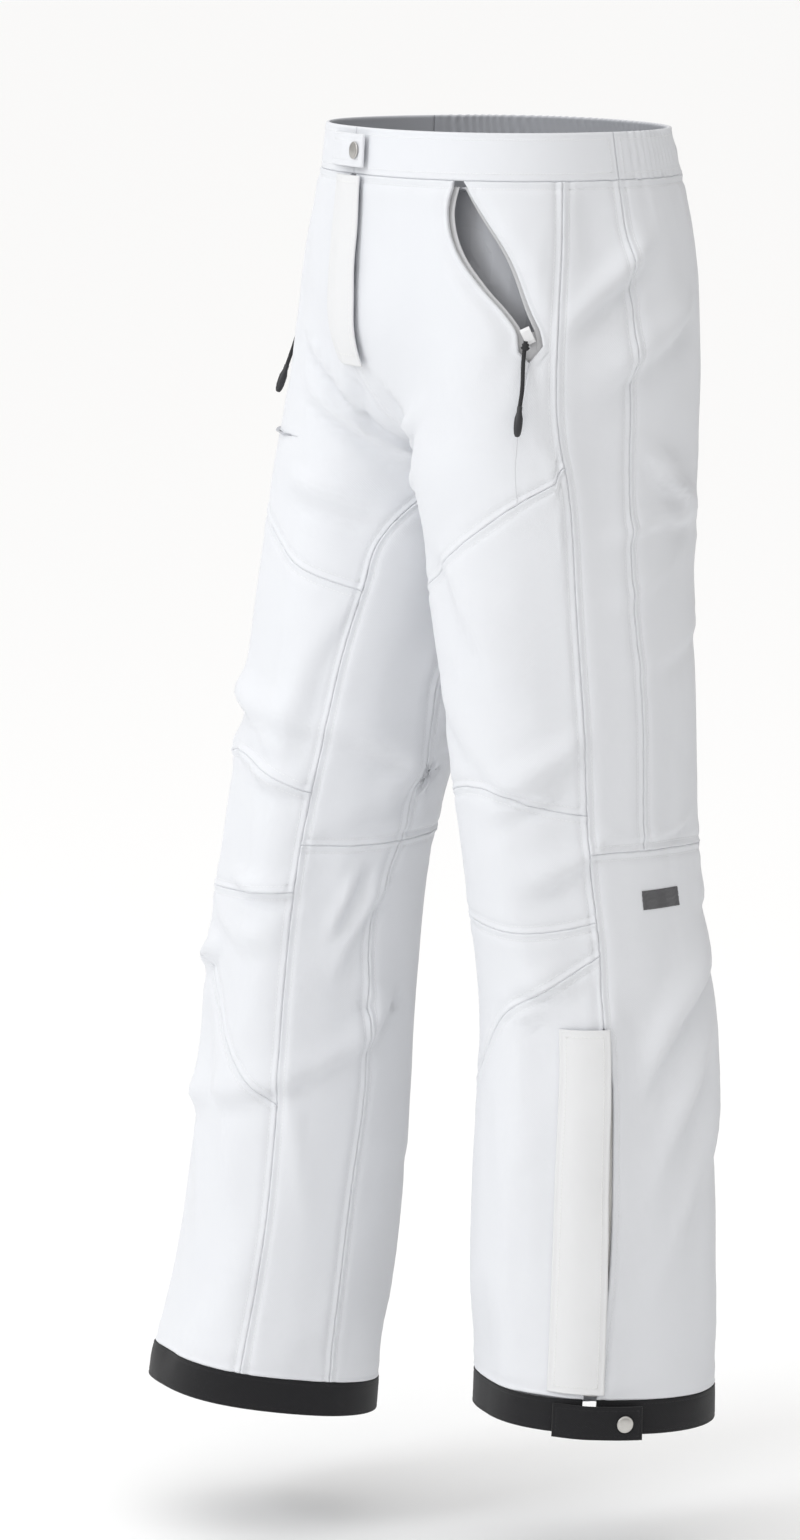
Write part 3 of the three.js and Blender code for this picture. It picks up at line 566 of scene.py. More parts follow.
def drifted(side, u, v):
    """How far the simulation moved the cloth at (u, v), blended between the net's points."""
    y = np.interp(height_of(v), height_of(NET_V), np.arange(len(NET_V)))
    wrapped = np.where(v <= CROTCH, np.asarray(u) % 1.0, np.clip(u, 0, 1))
    x = wrapped * NET_U
    i, j = np.clip(np.floor(x).astype(int), 0, NET_U - 1), np.clip(np.floor(y).astype(int), 0, len(NET_V) - 2)
    fx, fy = (x - i)[..., None], (y - j)[..., None]
    fx, fy = fx * fx * (3 - 2 * fx), fy * fy * (3 - 2 * fy)
    d = drift[side]
    return (d[j, i] * (1 - fx) + d[j, i + 1] * fx) * (1 - fy) + (d[j + 1, i] * (1 - fx) + d[j + 1, i + 1] * fx) * fy


# %% Fold limits
LOWEST, HIGHEST = -8.0, 10.0


def quiet(u, v):
    """Share of the folds that is left beside zips, the pocket mouth and the fly."""
    zip_near = np.exp(-(((u - side_front(v)) * GIRTH + 18) / 40)**4) * step(-v, 608, 645)
    mouth = 0.5 * (pocket_front(height_of(v)) + pocket_rear(height_of(v)))
    wide = 13 + 0.5 * GIRTH * np.abs(pocket_rear(height_of(v)) - pocket_front(height_of(v)))
    mouth_near = np.exp(-((u - mouth) * GIRTH / wide)**4) * step(v, -185, -160)
    fly_near = np.exp(-(u * GIRTH / 34)**2) * step(v, -185, -160)
    return 1 - 0.9 * np.clip(zip_near + mouth_near + fly_near, 0, 1)


def floor_of(u, v):
    """How far inwards the cloth may go before it meets the pocket bag or the gaiter."""
    bag = step(u, .10, .19) * (1 - step(u, .43, .50)) * step(height_of(v), -330, -250)
    gaiter = step(-v, 680, 760)
    return LOWEST + (LOWEST * -1 - 3.2) * np.maximum(bag, gaiter)


def cloth_move(side, u, v):
    """Everything that the folds and the simulation do to a point, kept within its limits."""
    moved, out = drifted(side, u, v), soft_normal(side, u, v)
    straight = (moved * out).sum(-1)
    calm = quiet(u, v)
    total = calm * (straight + folds(side, u, v))
    low = floor_of(u, v)
    total = np.where(total > low + 2, total, low + 2 * np.exp(np.minimum(total - low - 2, 0) / 2))
    total = np.where(total < HIGHEST - 3, total, HIGHEST - 3 * np.exp(-np.maximum(total - HIGHEST + 3, 0) / 3))
    return out * total[..., None] + 0.3 * calm[..., None] * (moved - out * straight[..., None])


# %% [markdown]
# ## Cutting a panel
# A panel is a grid of points between four seam lines, closer together near its edges. At each
# edge the cloth turns under into the seam, then swells, and a row of topstitching presses a
# groove beside it. The panel is then given its thickness, so that its inner face is the lining.

# %% Panel helper
CLOTH = 2.0
EDGE_STEPS = (0, 0.5, 1.1, 1.9, 2.9, 4.0, 5.2, 6.4, 8.2, 10.8, 14.2)


def spaced(length, interior):
    """Places from 0 to 1 over a length, close together near both ends."""
    edge = [e for e in EDGE_STEPS if e < length * 0.4]
    middle = np.linspace(edge[-1], length - edge[-1], max(2, int(round((length - 2 * edge[-1]) / interior))) + 1)
    return np.concatenate([edge[:-1], middle, [length - e for e in reversed(edge[:-1])]]) / length


def panel_grid(left, right, bottom, top, width, tall, interior=5.5, gap=0.0):
    s, t = np.meshgrid(spaced(width, interior), spaced(tall, interior))
    u = np.full(s.shape, float(0.5 * (left(np.array(-300.0)) + right(np.array(-300.0)))))
    v = np.zeros(s.shape)
    for _ in range(10):
        v = (bottom(u) + gap) * (1 - t) + (top(u) - gap) * t
        u = (left(v) + gap / GIRTH) * (1 - s) + (right(v) - gap / GIRTH) * s
    return s, t, u, v


def edge_distances(u, v, girth, left, right, bottom, top):
    """Distance from each grid point to the four edges, and the length along the nearest."""
    def leaning(line, x, scale):
        e = 0.002 if scale > 1 else 2.0
        return (line(x + e) - line(x - e)) / (2 * e)
    lean_l = leaning(left, v, 0) * girth
    lean_r = leaning(right, v, 0) * girth
    lean_b = leaning(bottom, u, 2) / girth
    lean_t = leaning(top, u, 2) / girth
    d = np.stack([(u - left(v)) * girth / np.hypot(1, lean_l), (right(v) - u) * girth / np.hypot(1, lean_r),
                  (v - bottom(u)) / np.hypot(1, lean_b), (top(u) - v) / np.hypot(1, lean_t)])
    return np.abs(d), np.stack([v, v + 31, u * GIRTH, u * GIRTH + 17])


def seam_profile(d, arc, seed, stitched=True, pucker=0.5, dip=0.35):
    """Height of the cloth beside a seam at distance d: the turned edge stands up as a fine
    cord, the topstitching presses a groove beside it, and the thread's pull gathers it."""
    turned = -dip * np.exp(-(d / 0.4)**2) + 0.7 * np.exp(-((d - 1.3) / 1.1)**2)
    swell = 0.6 * np.exp(-((d - 11) / 6)**2)
    groove = -0.55 * np.exp(-((d - 5.2) / 1.2)**2) if stitched else 0
    waves = pucker * ripple(seed)(arc) * np.exp(-(d / 13)**2) * (0.35 + 0.65 * step(d, 0, 2))
    return turned + swell + groove + waves


def mesh_object(name, co, faces, material, uv=None, seam=None, flip=False):
    if flip:
        faces = [f[::-1] for f in faces]
    mesh = bpy.data.meshes.new(name)
    mesh.from_pydata((np.asarray(co) * MM).tolist(), [], faces)
    loops = np.zeros(len(mesh.loops), int)
    mesh.loops.foreach_get("vertex_index", loops)
    for layer, values in (("cloth", uv), ("seam", seam)):
        if values is not None:
            mesh.uv_layers.new(name=layer).data.foreach_set("uv", np.asarray(values, float)[loops].ravel())
    mesh.polygons.foreach_set("use_smooth", [True] * len(mesh.polygons))
    piece = bpy.data.objects.new(name, mesh)
    bpy.context.scene.collection.objects.link(piece)
    for m in (material if isinstance(material, (list, tuple)) else [material]):
        mesh.materials.append(m)
    return piece


def slab(outer, inner):
    """Closed solid between two grids of points: (points, faces, number of outer faces)."""
    rows, columns = outer.shape[:2]
    number = np.arange(rows * columns).reshape(rows, columns)
    cells = [(j, i) for j in range(rows - 1) for i in range(columns - 1)]
    top = [(number[j, i], number[j, i + 1], number[j + 1, i + 1], number[j + 1, i]) for j, i in cells]
    n = rows * columns
    under = [tuple(n + k for k in reversed(f)) for f in top]
    border = ([(0, i) for i in range(columns)] + [(j, columns - 1) for j in range(1, rows)]
              + [(rows - 1, i) for i in range(columns - 2, -1, -1)] + [(j, 0) for j in range(rows - 2, 0, -1)])
    loop = [number[b] for b in border]
    rim = [(a, a + n, b + n, b) for a, b in zip(loop, loop[1:] + loop[:1])]
    faces = [tuple(int(x) for x in f) for f in top + under + rim]
    return np.concatenate([outer.reshape(-1, 3), inner.reshape(-1, 3)]), faces, len(top)


def inner_side(points, out, d):
    """Direction of the cloth's thickness: across the folded cloth itself, but straight out at
    the edges, where the panels meet."""
    own = np.cross(np.gradient(points, axis=1), np.gradient(points, axis=0))
    own = own / np.maximum(np.linalg.norm(own, axis=-1, keepdims=True), 1e-9)
    own = own * np.where((own * out).sum(-1, keepdims=True) < 0, -1, 1)
    share = step(np.min(d, axis=0), 3, 9)[..., None]
    total = out * (1 - share) + own * share
    return total / np.linalg.norm(total, axis=-1, keepdims=True)


PUCKER, SEAM_REACH = 0.45, 60
JOIN_FROM, JOIN_TO = -172, -156


def cloth_area(points):
    """Area of a grid of points in millimetres, as square metres."""
    down, along = points[1:, :-1] - points[:-1, :-1], points[:-1, 1:] - points[:-1, :-1]
    return float(np.linalg.norm(np.cross(down, along), axis=-1).sum()) * 1e-6


def cloth_place(u, v):
    """Weave coordinates, in centimetres."""
    return np.stack([u * GIRTH * 0.1, v * 0.1], -1)


def cut_panel(side, left, right, bottom, top, width, tall, seed, stitched=(1, 1, 1, 1), extra=None, joined=None):
    """Outer and inner points, cloth and seam coordinates of one panel."""
    _, _, u, v = panel_grid(left, right, bottom, top, width, tall)
    _, _, out, girth = tangents(side, u, v)
    d, arc = edge_distances(u, v, girth, left, right, bottom, top)
    rise = np.zeros(u.shape)
    for k in range(4):
        here = step(v, JOIN_FROM, JOIN_TO) if k == joined else 1
        rise = rise + here * seam_profile(d[k], arc[k], seed + k, bool(stitched[k]), PUCKER)
    if extra is not None:
        rise = rise + extra(u, v)
    points = surface(side, u, v) + out * rise[..., None] + cloth_move(side, u, v)
    inner = points - inner_side(points, out, d) * CLOTH
    nearest = np.where(np.array(stitched, bool)[:, None, None], d, 1e3)
    k = nearest.argmin(0)
    seam = np.stack([np.clip(np.take_along_axis(nearest, k[None], 0)[0], 0, SEAM_REACH) * 0.1,
                     np.take_along_axis(arc, k[None], 0)[0] * 0.1], -1)
    return dict(outer=points, inner=inner, cloth=cloth_place(u, v), seam=seam, area=cloth_area(points))


# %% [markdown]
# ## Finishes
# The shell is a matt white nylon with a fine plain weave. Weave, topstitching and soft
# variation are shader groups with named sockets, built once and used by every cloth.

# %% Shader groups


def new_group(name, inputs, outputs):
    group = bpy.data.node_groups.new(name, "ShaderNodeTree")
    for label, kind, default in inputs:
        socket = group.interface.new_socket(name=label, in_out="INPUT", socket_type=kind)
        if default is not None:
            socket.default_value = default
    for label, kind in outputs:
        group.interface.new_socket(name=label, in_out="OUTPUT", socket_type=kind)
    return group, group.nodes.new("NodeGroupInput"), group.nodes.new("NodeGroupOutput")


def math_node(tree, operation, a, b=None, clamp=False):
    node = tree.nodes.new("ShaderNodeMath")
    node.operation, node.use_clamp = operation, clamp
    for socket, value in zip(node.inputs, (a, b)):
        if value is None:
            continue
        if isinstance(value, (int, float)):
            socket.default_value = value
        else:
            tree.links.new(value, socket)
    return node.outputs[0]


def weave_group():
    """Height of a plain weave, from the cloth coordinates (centimetres)."""
    group, enter, leave = new_group("Weave", [("Threads per cm", "NodeSocketFloat", 9.0)],
                                    [("Height", "NodeSocketFloat")])
    uv = group.nodes.new("ShaderNodeUVMap")
    uv.uv_map = "cloth"
    split = group.nodes.new("ShaderNodeSeparateXYZ")
    group.links.new(uv.outputs[0], split.inputs[0])
    waves = []
    for axis in (0, 1):
        turned = math_node(group, "MULTIPLY", split.outputs[axis], enter.outputs[0])
        waves.append(math_node(group, "SINE", math_node(group, "MULTIPLY", turned, 6.2832)))
    both = math_node(group, "MULTIPLY", waves[0], waves[1])
    group.links.new(math_node(group, "MULTIPLY_ADD", both, 0.5), leave.inputs[0])
    return group


def stitch_group():
    """Mask of a topstitched row: short threads at a fixed distance from the panel's edge, and a mask of painted shade
    along the panel's edge itself.
    """
    group, enter, leave = new_group(
        "Topstitch", [("Distance mm", "NodeSocketFloat", 5.2), ("Stitches per cm", "NodeSocketFloat", 3.4)],
        [("Mask", "NodeSocketFloat"), ("Painted seam shade", "NodeSocketFloat")])
    uv = group.nodes.new("ShaderNodeUVMap")
    uv.uv_map = "seam"
    split = group.nodes.new("ShaderNodeSeparateXYZ")
    group.links.new(uv.outputs[0], split.inputs[0])
    mm = math_node(group, "MULTIPLY", split.outputs[0], 10.0)
    off = math_node(group, "ABSOLUTE", math_node(group, "SUBTRACT", mm, enter.outputs[0]))
    row = math_node(group, "SUBTRACT", 1.0, math_node(group, "DIVIDE", off, 0.55), clamp=True)
    beat = math_node(group, "FRACT", math_node(group, "MULTIPLY", split.outputs[1], enter.outputs[1]))
    dash = math_node(group, "LESS_THAN", beat, 0.68)
    group.links.new(math_node(group, "MULTIPLY", row, dash), leave.inputs[0])
    # Second output: painted shade along the seam, full at the panel's edge and gone 1.4 mm from it.
    edge = math_node(group, "SUBTRACT", 1.0, math_node(group, "DIVIDE", mm, 1.4), clamp=True)
    group.links.new(edge, leave.inputs[1])
    return group


def variation_group():
    """Soft uneven tone of worn cloth, from object space."""
    group, enter, leave = new_group("Soft variation", [("Scale", "NodeSocketFloat", 9.0)],
                                    [("Value", "NodeSocketFloat")])
    place = group.nodes.new("ShaderNodeTexCoord")
    noise = group.nodes.new("ShaderNodeTexNoise")
    noise.inputs["Detail"].default_value = 3
    group.links.new(place.outputs["Object"], noise.inputs["Vector"])
    group.links.new(enter.outputs[0], noise.inputs["Scale"])
    group.links.new(noise.outputs[0], leave.inputs[0])
    return group


WEAVE, STITCH, VARIATION = weave_group(), stitch_group(), variation_group()

# %% Cloth materials


def use_group(tree, group, **values):
    node = tree.nodes.new("ShaderNodeGroup")
    node.node_tree = group
    for label, value in values.items():
        node.inputs[label.replace("_", " ")].default_value = value
    return node


def mix_colour(tree, factor, a, b):
    node = tree.nodes.new("ShaderNodeMix")
    node.data_type = "RGBA"
    tree.links.new(factor, node.inputs[0])
    for socket, value in ((node.inputs[6], a), (node.inputs[7], b)):
        if isinstance(value, tuple):
            socket.default_value = (*value, 1)
        else:
            tree.links.new(value, socket)
    return node.outputs[2]


def cloth_material(name, colour, shade, thread, roughness, threads, weave_depth, sheen=0.0, stitched=True, distance=5.2):
    material = bpy.data.materials.new(name)
    material.use_nodes = True
    tree = material.node_tree
    shader = tree.nodes["Principled BSDF"]
    shader.inputs["Roughness"].default_value = roughness
    shader.inputs["Specular IOR Level"].default_value = 0.25
    shader.inputs["Sheen Weight"].default_value = sheen
    soft = use_group(tree, VARIATION, Scale=7.0)
    tone = mix_colour(tree, soft.outputs[0], shade, colour)
    weave = use_group(tree, WEAVE, Threads_per_cm=threads)
    height = math_node(tree, "MULTIPLY", weave.outputs[0], weave_depth)
    if stitched:
        stitch = use_group(tree, STITCH, Distance_mm=distance)
        # Painted seam shade: the colour is darkened to 0.97 of the darker tone within 1.4 mm of each seam edge, where
        # the seam's crease would be in shade.
        tone = mix_colour(tree, stitch.outputs[1], tone, tuple(0.97 * c for c in shade))
        tone = mix_colour(tree, stitch.outputs[0], tone, thread)
        raised = math_node(tree, "MULTIPLY", stitch.outputs[0], 0.00035)
        height = math_node(tree, "ADD", height, raised)
    tree.links.new(tone, shader.inputs["Base Color"])
    bump = tree.nodes.new("ShaderNodeBump")
    bump.inputs["Strength"].default_value = 0.6
    bump.inputs["Distance"].default_value = 1.0
    tree.links.new(height, bump.inputs["Height"])
    tree.links.new(bump.outputs[0], shader.inputs["Normal"])
    return material


SHELL = cloth_material("white shell cloth", (.735, .747, .775), (.71, .722, .75), (.79, .80, .82),
                       .62, 7, .00010, .08)
FLAP_CLOTH = cloth_material("white flap cloth", (.74, .743, .75), (.715, .718, .725), (.79, .79, .785),
                            .62, 7, .00010, .08)
LINING = cloth_material("pale grey lining", (.52, .53, .56), (.47, .48, .51), (.6, .6, .62),
                        .5, 12, .00005, stitched=False)
HEM_CLOTH = cloth_material("black hem cloth", (.012, .012, .014), (.008, .008, .009), (.02, .02, .022),
                           .8, 6, .0002, .15, distance=3.0)
TAPE = cloth_material("white zip tape", (.78, .77, .74), (.70, .69, .66), (.8, .8, .8),
                      .7, 10, .0002, stitched=False)
GREY_TAPE = cloth_material("grey zip tape", (.60, .60, .61), (.54, .54, .55), (.5, .5, .5),
                           .7, 10, .0002, stitched=False)
THREAD = cloth_material("grey embroidery thread", (.12, .12, .125), (.08, .08, .085), (.2, .2, .2),
                        .45, 14, .0001, .2, stitched=False)

# %% Hard materials


def hard_material(name, colour, roughness, metallic=0.0, grain=60.0, depth=0.00004, spread=0.12):
    material = bpy.data.materials.new(name)
    material.use_nodes = True
    tree = material.node_tree
    shader = tree.nodes["Principled BSDF"]
    shader.inputs["Metallic"].default_value = metallic
    fine = use_group(tree, VARIATION, Scale=grain)
    tone = mix_colour(tree, fine.outputs[0], tuple(c * 0.85 for c in colour), colour)
    tree.links.new(tone, shader.inputs["Base Color"])
    rough = math_node(tree, "ADD", math_node(tree, "MULTIPLY", fine.outputs[0], spread), roughness - spread / 2)
    tree.links.new(rough, shader.inputs["Roughness"])
    bump = tree.nodes.new("ShaderNodeBump")
    bump.inputs["Distance"].default_value = 1.0
    tree.links.new(math_node(tree, "MULTIPLY", fine.outputs[0], depth), bump.inputs["Height"])
    tree.links.new(bump.outputs[0], shader.inputs["Normal"])
    return material


TEETH = hard_material("white moulded teeth", (.80, .80, .79), .4, 0, 200)
ENAMEL = hard_material("white enamelled metal", (.82, .82, .83), .3, 0, 300)
NICKEL = hard_material("brushed nickel", (.60, .585, .56), .34, 1, 400, .00002, .2)
CORD = hard_material("black braided cord", (.02, .02, .022), .75, 0, 1400, .0004)
RUBBER = hard_material("charcoal rubber", (.028, .028, .031), .5, 0, 500)

# %% [markdown]
# ## Pocket pulls
# Each pocket slider carries a short doubled cord in a moulded tip that gloved fingers can grip.
# The cord leaves the slider and hangs under its own weight against the hip. Its route is read
# from the CAD tube's two ends.

# %% Pocket pulls


def tube_ends(node):
    """Centres of a straight CAD tube's upper and lower ends, in metres."""
    co = np.array([p.co for p in nodes[node].data.vertices])
    order = co[:, 2]
    upper = co[order > order.max() - 0.0015].mean(0)
    lower = co[order < order.min() + 0.0015].mean(0)
    return upper, lower


def lathe(name, profile, material, around=28):
    """A turned solid round +Z from (radius, height) pairs that start and end on the axis."""
    turns = np.linspace(0, 2 * np.pi, around, endpoint=False)
    co, faces = [(0, 0, profile[0][1])], []
    rings = profile[1:-1]
    for r, z in rings:
        co += [(r * math.cos(a), r * math.sin(a), z) for a in turns]
    co.append((0, 0, profile[-1][1]))
    last = len(co) - 1
    for k in range(around):
        n = (k + 1) % around
        faces.append((0, 1 + n, 1 + k))
        for ring in range(len(rings) - 1):
            a = 1 + ring * around
            faces.append((a + k, a + n, a + around + n, a + around + k))
        faces.append((last, last - around + k, last - around + n))
    return mesh_object(name, co, faces, material)


def aim_z(piece, at, direction):
    turn = Vector(direction).to_track_quat("Z", "Y").to_matrix().to_4x4()
    piece.data.transform(Matrix.Translation(Vector(at)) @ turn)
    return piece


TIP_PROFILE = [(0, 0), (1.5, 0), (1.9, .5), (1.9, 4), (2.3, 6), (3.0, 8.5), (3.1, 12), (3.0, 16),
               (2.5, 19.5), (1.7, 21.4), (.8, 21.9), (0, 22)]
KNOT_PROFILE = [(0, -2.6), (1.7, -2.5), (2.5, -1.5), (2.2, -.4), (2.7, .6), (2.3, 1.9), (1.6, 2.6), (0, 2.7)]
CORD_THICKNESS = 0.003
for side in SIDES:
    upper, lower = tube_ends(f"{side}_pocket_pull_cord")
    run = lower - upper
    steps = np.linspace(0, 1, 17)
    bow = np.cross(run, [0, 0, 1])
    bow = bow / max(np.linalg.norm(bow), 1e-9) * 0.0006
    points = [upper + run * t + bow * math.sin(2 * math.pi * t) for t in steps]
    curve = bpy.data.curves.new(f"{side}_pull_cord", "CURVE")
    curve.dimensions = "3D"
    curve.bevel_depth = CORD_THICKNESS / 2
    curve.bevel_resolution = 4
    spline = curve.splines.new("POLY")
    spline.points.add(len(points) - 1)
    for target, p in zip(spline.points, points):
        target.co = (*p, 1)
    cord = bpy.data.objects.new(f"{side}_pull_cord", curve)
    bpy.context.scene.collection.objects.link(cord)
    curve.materials.append(CORD)
    tip = lathe(f"{side}_pull_tip", TIP_PROFILE, RUBBER)
    aim_z(tip, lower, run)
    for piece in (cord, tip):
        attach(piece, f"{side}_pocket_pull")
    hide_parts(f"{side}_pocket_pull_cord")
    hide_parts(f"{side}_pocket_pull_tip")
    knot = lathe(f"{side}_pull_knot", KNOT_PROFILE, CORD, 14)
    for vert in knot.data.vertices:
        vert.co.x *= 1.15 + 0.2 * math.sin(vert.co.z * 1900)
    aim_z(knot, upper + run * 0.09, run)
    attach(knot, f"{side}_pocket_pull")

# %% [markdown]
# ## Sewing the panels
# A panel rides on one body of the CAD part. A panel that crosses the knee, where body is
# 'knee', stays fixed where it is cut and rides on no body.


def place_piece(piece, body):
    """Rides on one body, or stays fixed where it is cut when body is 'knee'."""
    if body == "knee":
        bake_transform(piece)
    else:
        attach(piece, body)


def sew(name, side, panel, body, replaced=(), material=None, lining=None):
    co, faces, outer_faces = slab(panel["outer"], panel["inner"])
    cloth = np.concatenate([panel["cloth"].reshape(-1, 2)] * 2)
    seam = panel["seam"].reshape(-1, 2)
    seam = np.concatenate([seam, np.full(seam.shape, 6.0)])
    piece = mesh_object(name, co, faces, [material or SHELL, lining or LINING], cloth, seam, flip=side == "right")
    index = np.zeros(len(faces), int)
    index[outer_faces:2 * outer_faces] = 1
    piece.data.polygons.foreach_set("use_smooth", np.arange(len(faces)) < 2 * outer_faces)
    piece.data.polygons.foreach_set("material_index", index)
    place_piece(piece, body)
    if replaced:
        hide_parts(*replaced)
    return piece

# %% Thigh, seat and side panels


def seat_puckers(u, v):
    """Vertical gathers that run down from the elastic back of the waistband."""
    rows = step(v, BAND - 52, BAND) * step(u, .56, .62)
    return 1.1 * rows * np.sin(2 * np.pi * (u * GIRTH + 3 * np.sin(u * 61)) / 10.5)


def mouth_split(v):
    """The upper front panel divides at the pocket mouth and is one below it."""
    z = height_of(v)
    return 0.5 * (pocket_front(z) + pocket_rear(z))


def mouth_edge(line):
    return lambda v: mouth_split(v) + (line(height_of(v)) - mouth_split(v)) * step(v, -153, -147)


def sew_cut(side, name, replaced, body="knee", **cut):
    """Cuts a panel, and sews it in place of the CAD panels it stands for."""
    return sew(f"{side}_{name}", side, cut_panel(side, **cut), body, tuple(f"{side}_{n}" for n in replaced))


def wrapped_front(v):
    """The inner front seam, reached the other way round the leg."""
    return 1 + inner_front(v)


for side in SIDES:
    upper = dict(body="garment", bottom=thigh_seam, top=level(BAND), tall=300)
    sew_cut(side, "front_upper", ("front_thigh_upper",), left=centre_front, right=mouth_edge(pocket_front),
            width=150, seed=10, stitched=(1, 0, 1, 1), joined=1, **upper)
    sew_cut(side, "pocket_side", (), left=mouth_edge(pocket_rear), right=side_front,
            width=60, seed=20, stitched=(0, 1, 1, 1), joined=0, **upper)
    sew_cut(side, "front_lower", ("front_thigh_lower",), "garment", left=inner_front, right=side_front,
            bottom=knee_top, top=thigh_seam, width=170, tall=200, seed=30)
    down = dict(bottom=knee_back, top=level(BAND))
    sew_cut(side, "side_strip", ("side_panel",), left=side_front, right=side_rear,
            width=46, tall=480, seed=40, **down)
    sew_cut(side, "back", ("back_thigh",), left=side_rear, right=centre_back,
            width=220, tall=490, seed=50, extra=seat_puckers, **down)
    sew_cut(side, "inner", ("inner_thigh",), left=inner_back, right=wrapped_front, bottom=knee_back,
            top=level(-246), width=80, tall=290, seed=60)

# %% [markdown]
# ## Knee and shin
# Below the thigh seam the front is cut in three to give the knee its bend, and the calf is one
# large piece from the outer zip round to the inside.

# %% Knee and shin panels
for side in SIDES:
    front = dict(left=inner_front, right=side_front, width=175)
    sew_cut(side, "knee_upper", ("knee_front",), bottom=knee_middle, top=knee_top, tall=90, seed=70, **front)
    sew_cut(side, "knee_under", ("knee_lower",), bottom=knee_low, top=knee_middle, tall=95, seed=80, **front)
    hem = hem_top(side)
    sew_cut(side, "shin_front", ("front_shin",), left=inner_front, right=zip_edge(-1), bottom=hem,
            top=knee_low, width=175, tall=270, seed=90, stitched=(1, 0, 0, 1))
    sew_cut(side, "calf_back", ("calf", "knee_back"), left=zip_edge(1), right=inner_back, bottom=hem,
            top=knee_back, width=270, tall=410, seed=100, stitched=(1, 1, 0, 1))
    sew_cut(side, "shin_inner", ("inner_shin",), left=inner_back, right=wrapped_front, bottom=hem,
            top=knee_back, width=76, tall=400, seed=110, stitched=(1, 1, 0, 1))

# %% [markdown]
# ## Hem, flaps and bands
# The hem is bound with a heavy black cloth that is open at the leg zip. The storm flap is sewn
# along its front edge and lies over the zip. The waistband's back is gathered on elastic.

# %% Hem bands and storm flaps
HEM_THICK, HEM_OFF = 3.2, 0.6
FLAP_ROOT, FLAP_EDGE, FLAP_TOP, FLAP_THICK = .372, .446, -645, 1.8


def strip(side, left, right, bottom, top, width, tall, offset, thickness, interior=5.0, wave=None, follow=1.0):
    """A sewn strip that lies on the shell at a given offset."""
    s, t, u, v = panel_grid(left, right, bottom, top, width, tall, interior, gap=0)
    _, _, out, girth = tangents(side, u, v)
    d, _ = edge_distances(u, v, girth, left, right, bottom, top)
    rise = offset(s, t, u, v)
    if wave is not None:
        rise = rise + wave(s, t, u, v)
    least = d.min(0)
    rounded = np.sqrt(np.clip(1 - (1 - np.clip(least / (0.5 * thickness), 0, 1))**2, 0, 1))
    middle = surface(side, u, v) + out * rise[..., None] + follow * cloth_move(side, u, v)
    half = out * (thickness * 0.5 * (0.25 + 0.75 * rounded))[..., None]
    groove = out * (0.3 * np.exp(-((least - 3) / 0.7)**2))[..., None]
    seam = np.stack([np.clip(least, 0, SEAM_REACH) * 0.1, np.where(d.argmin(0) < 2, v, u * GIRTH) * 0.1], -1)
    return dict(outer=middle + half - groove, inner=middle - half, cloth=cloth_place(u, v), seam=seam,
                area=cloth_area(middle))


def flat_at(height):
    """An offset that is the same all over a strip."""
    return lambda s, t, u, v: height + 0 * s


def flap_wave(s, t, u, v):
    return 0.7 * step(s, .5, 1) * np.sin(v / 23.0) + 0.3 * np.sin(v / 7.1) * step(s, .2, 1)


for side in SIDES:
    hem = hem_top(side)
    band = strip(side, zip_edge(1), lambda v: 1 + zip_edge(-1)(v), hem_bottom(side), hem, 520, 26,
                 lambda s, t, u, v: HEM_OFF - HEM_THICK / 2 + 0.25 * np.sin(u * 40), HEM_THICK)
    sew(f"{side}_hem", side, band, f"{side}_shin", (f"{side}_hem_band",), HEM_CLOTH, HEM_CLOTH)
    flap = strip(side, level(FLAP_ROOT), level(FLAP_EDGE), lambda u, hem=hem: hem(u) + 4, level(FLAP_TOP), 40, 275,
                 lambda s, t, u, v: 1.4 + 2.6 * step(s, 0, .5), FLAP_THICK, wave=flap_wave, follow=.8)
    sew(f"{side}_zip_flap", side, flap, f"{side}_storm_flap", (f"{side}_storm_flap",), FLAP_CLOTH,
        SHELL)

# %% Waistband
ELASTIC_PERIOD = 8.2
BAND_HEIGHT, BAND_OFF = 34, .8 - 1.8
BAND_FRONT_END, BAND_BACK_START = .5552, .5558


def gathers(s, t, u, v):
    """Ridges of the elastic back, fading towards the side seams."""
    fade = step(s, 0, .05) * (1 - step(s, .95, 1))
    ridges = np.sin(2 * np.pi * (u * GIRTH + 2.2 * np.sin(u * 47)) / ELASTIC_PERIOD)
    return fade * ridges * (0.6 + 0.4 * np.cos((t - .5) * 12))


def waistband(name, side, left, right, width, thickness, node, **more):
    band = strip(side, level(left), level(right), level(BAND), level(0), width, BAND_HEIGHT, flat_at(BAND_OFF),
                 thickness, follow=0, **more)
    sew(name, side, band, "garment", (node,), SHELL, LINING)


for side in SIDES:
    waistband(f"{side}_band_front", side, 0, BAND_FRONT_END, 290, 3.6, f"{side}_waistband_front")
waistband("band_back", "left", BAND_BACK_START, 2 - BAND_BACK_START, 440, 3.0, "waistband_back",
          interior=2.2, wave=gathers)

# %% [markdown]
# ## Small sewn and moulded pieces
# The fly flap, the waist tab and the hem tabs are doubled strips with a stitched edge. Snaps
# are pressed from thin metal: a domed cap with a rolled rim, and a hollow stud under it.

# %% Flaps, tabs and the embroidered bar


FLY = dict(left=-.056, right=.036, bottom=-160, width=52, tall=125, thick=1.8)
STRAP = dict(left=-.074, right=.046, bottom=-29, top=-5, width=62, tall=24, thick=2.4)
TAB_ROOT, TAB_LENGTH, TAB_HEIGHT, TAB_DROP, TAB_THICK = .381, 66, 25, 3, 2.2


def plain_strip(side, left, right, bottom, top, width, tall, offset, thickness, interior, wave):
    return strip(side, level(left), level(right), bottom, top, width, tall, offset, thickness, interior,
                 wave=wave, follow=0)


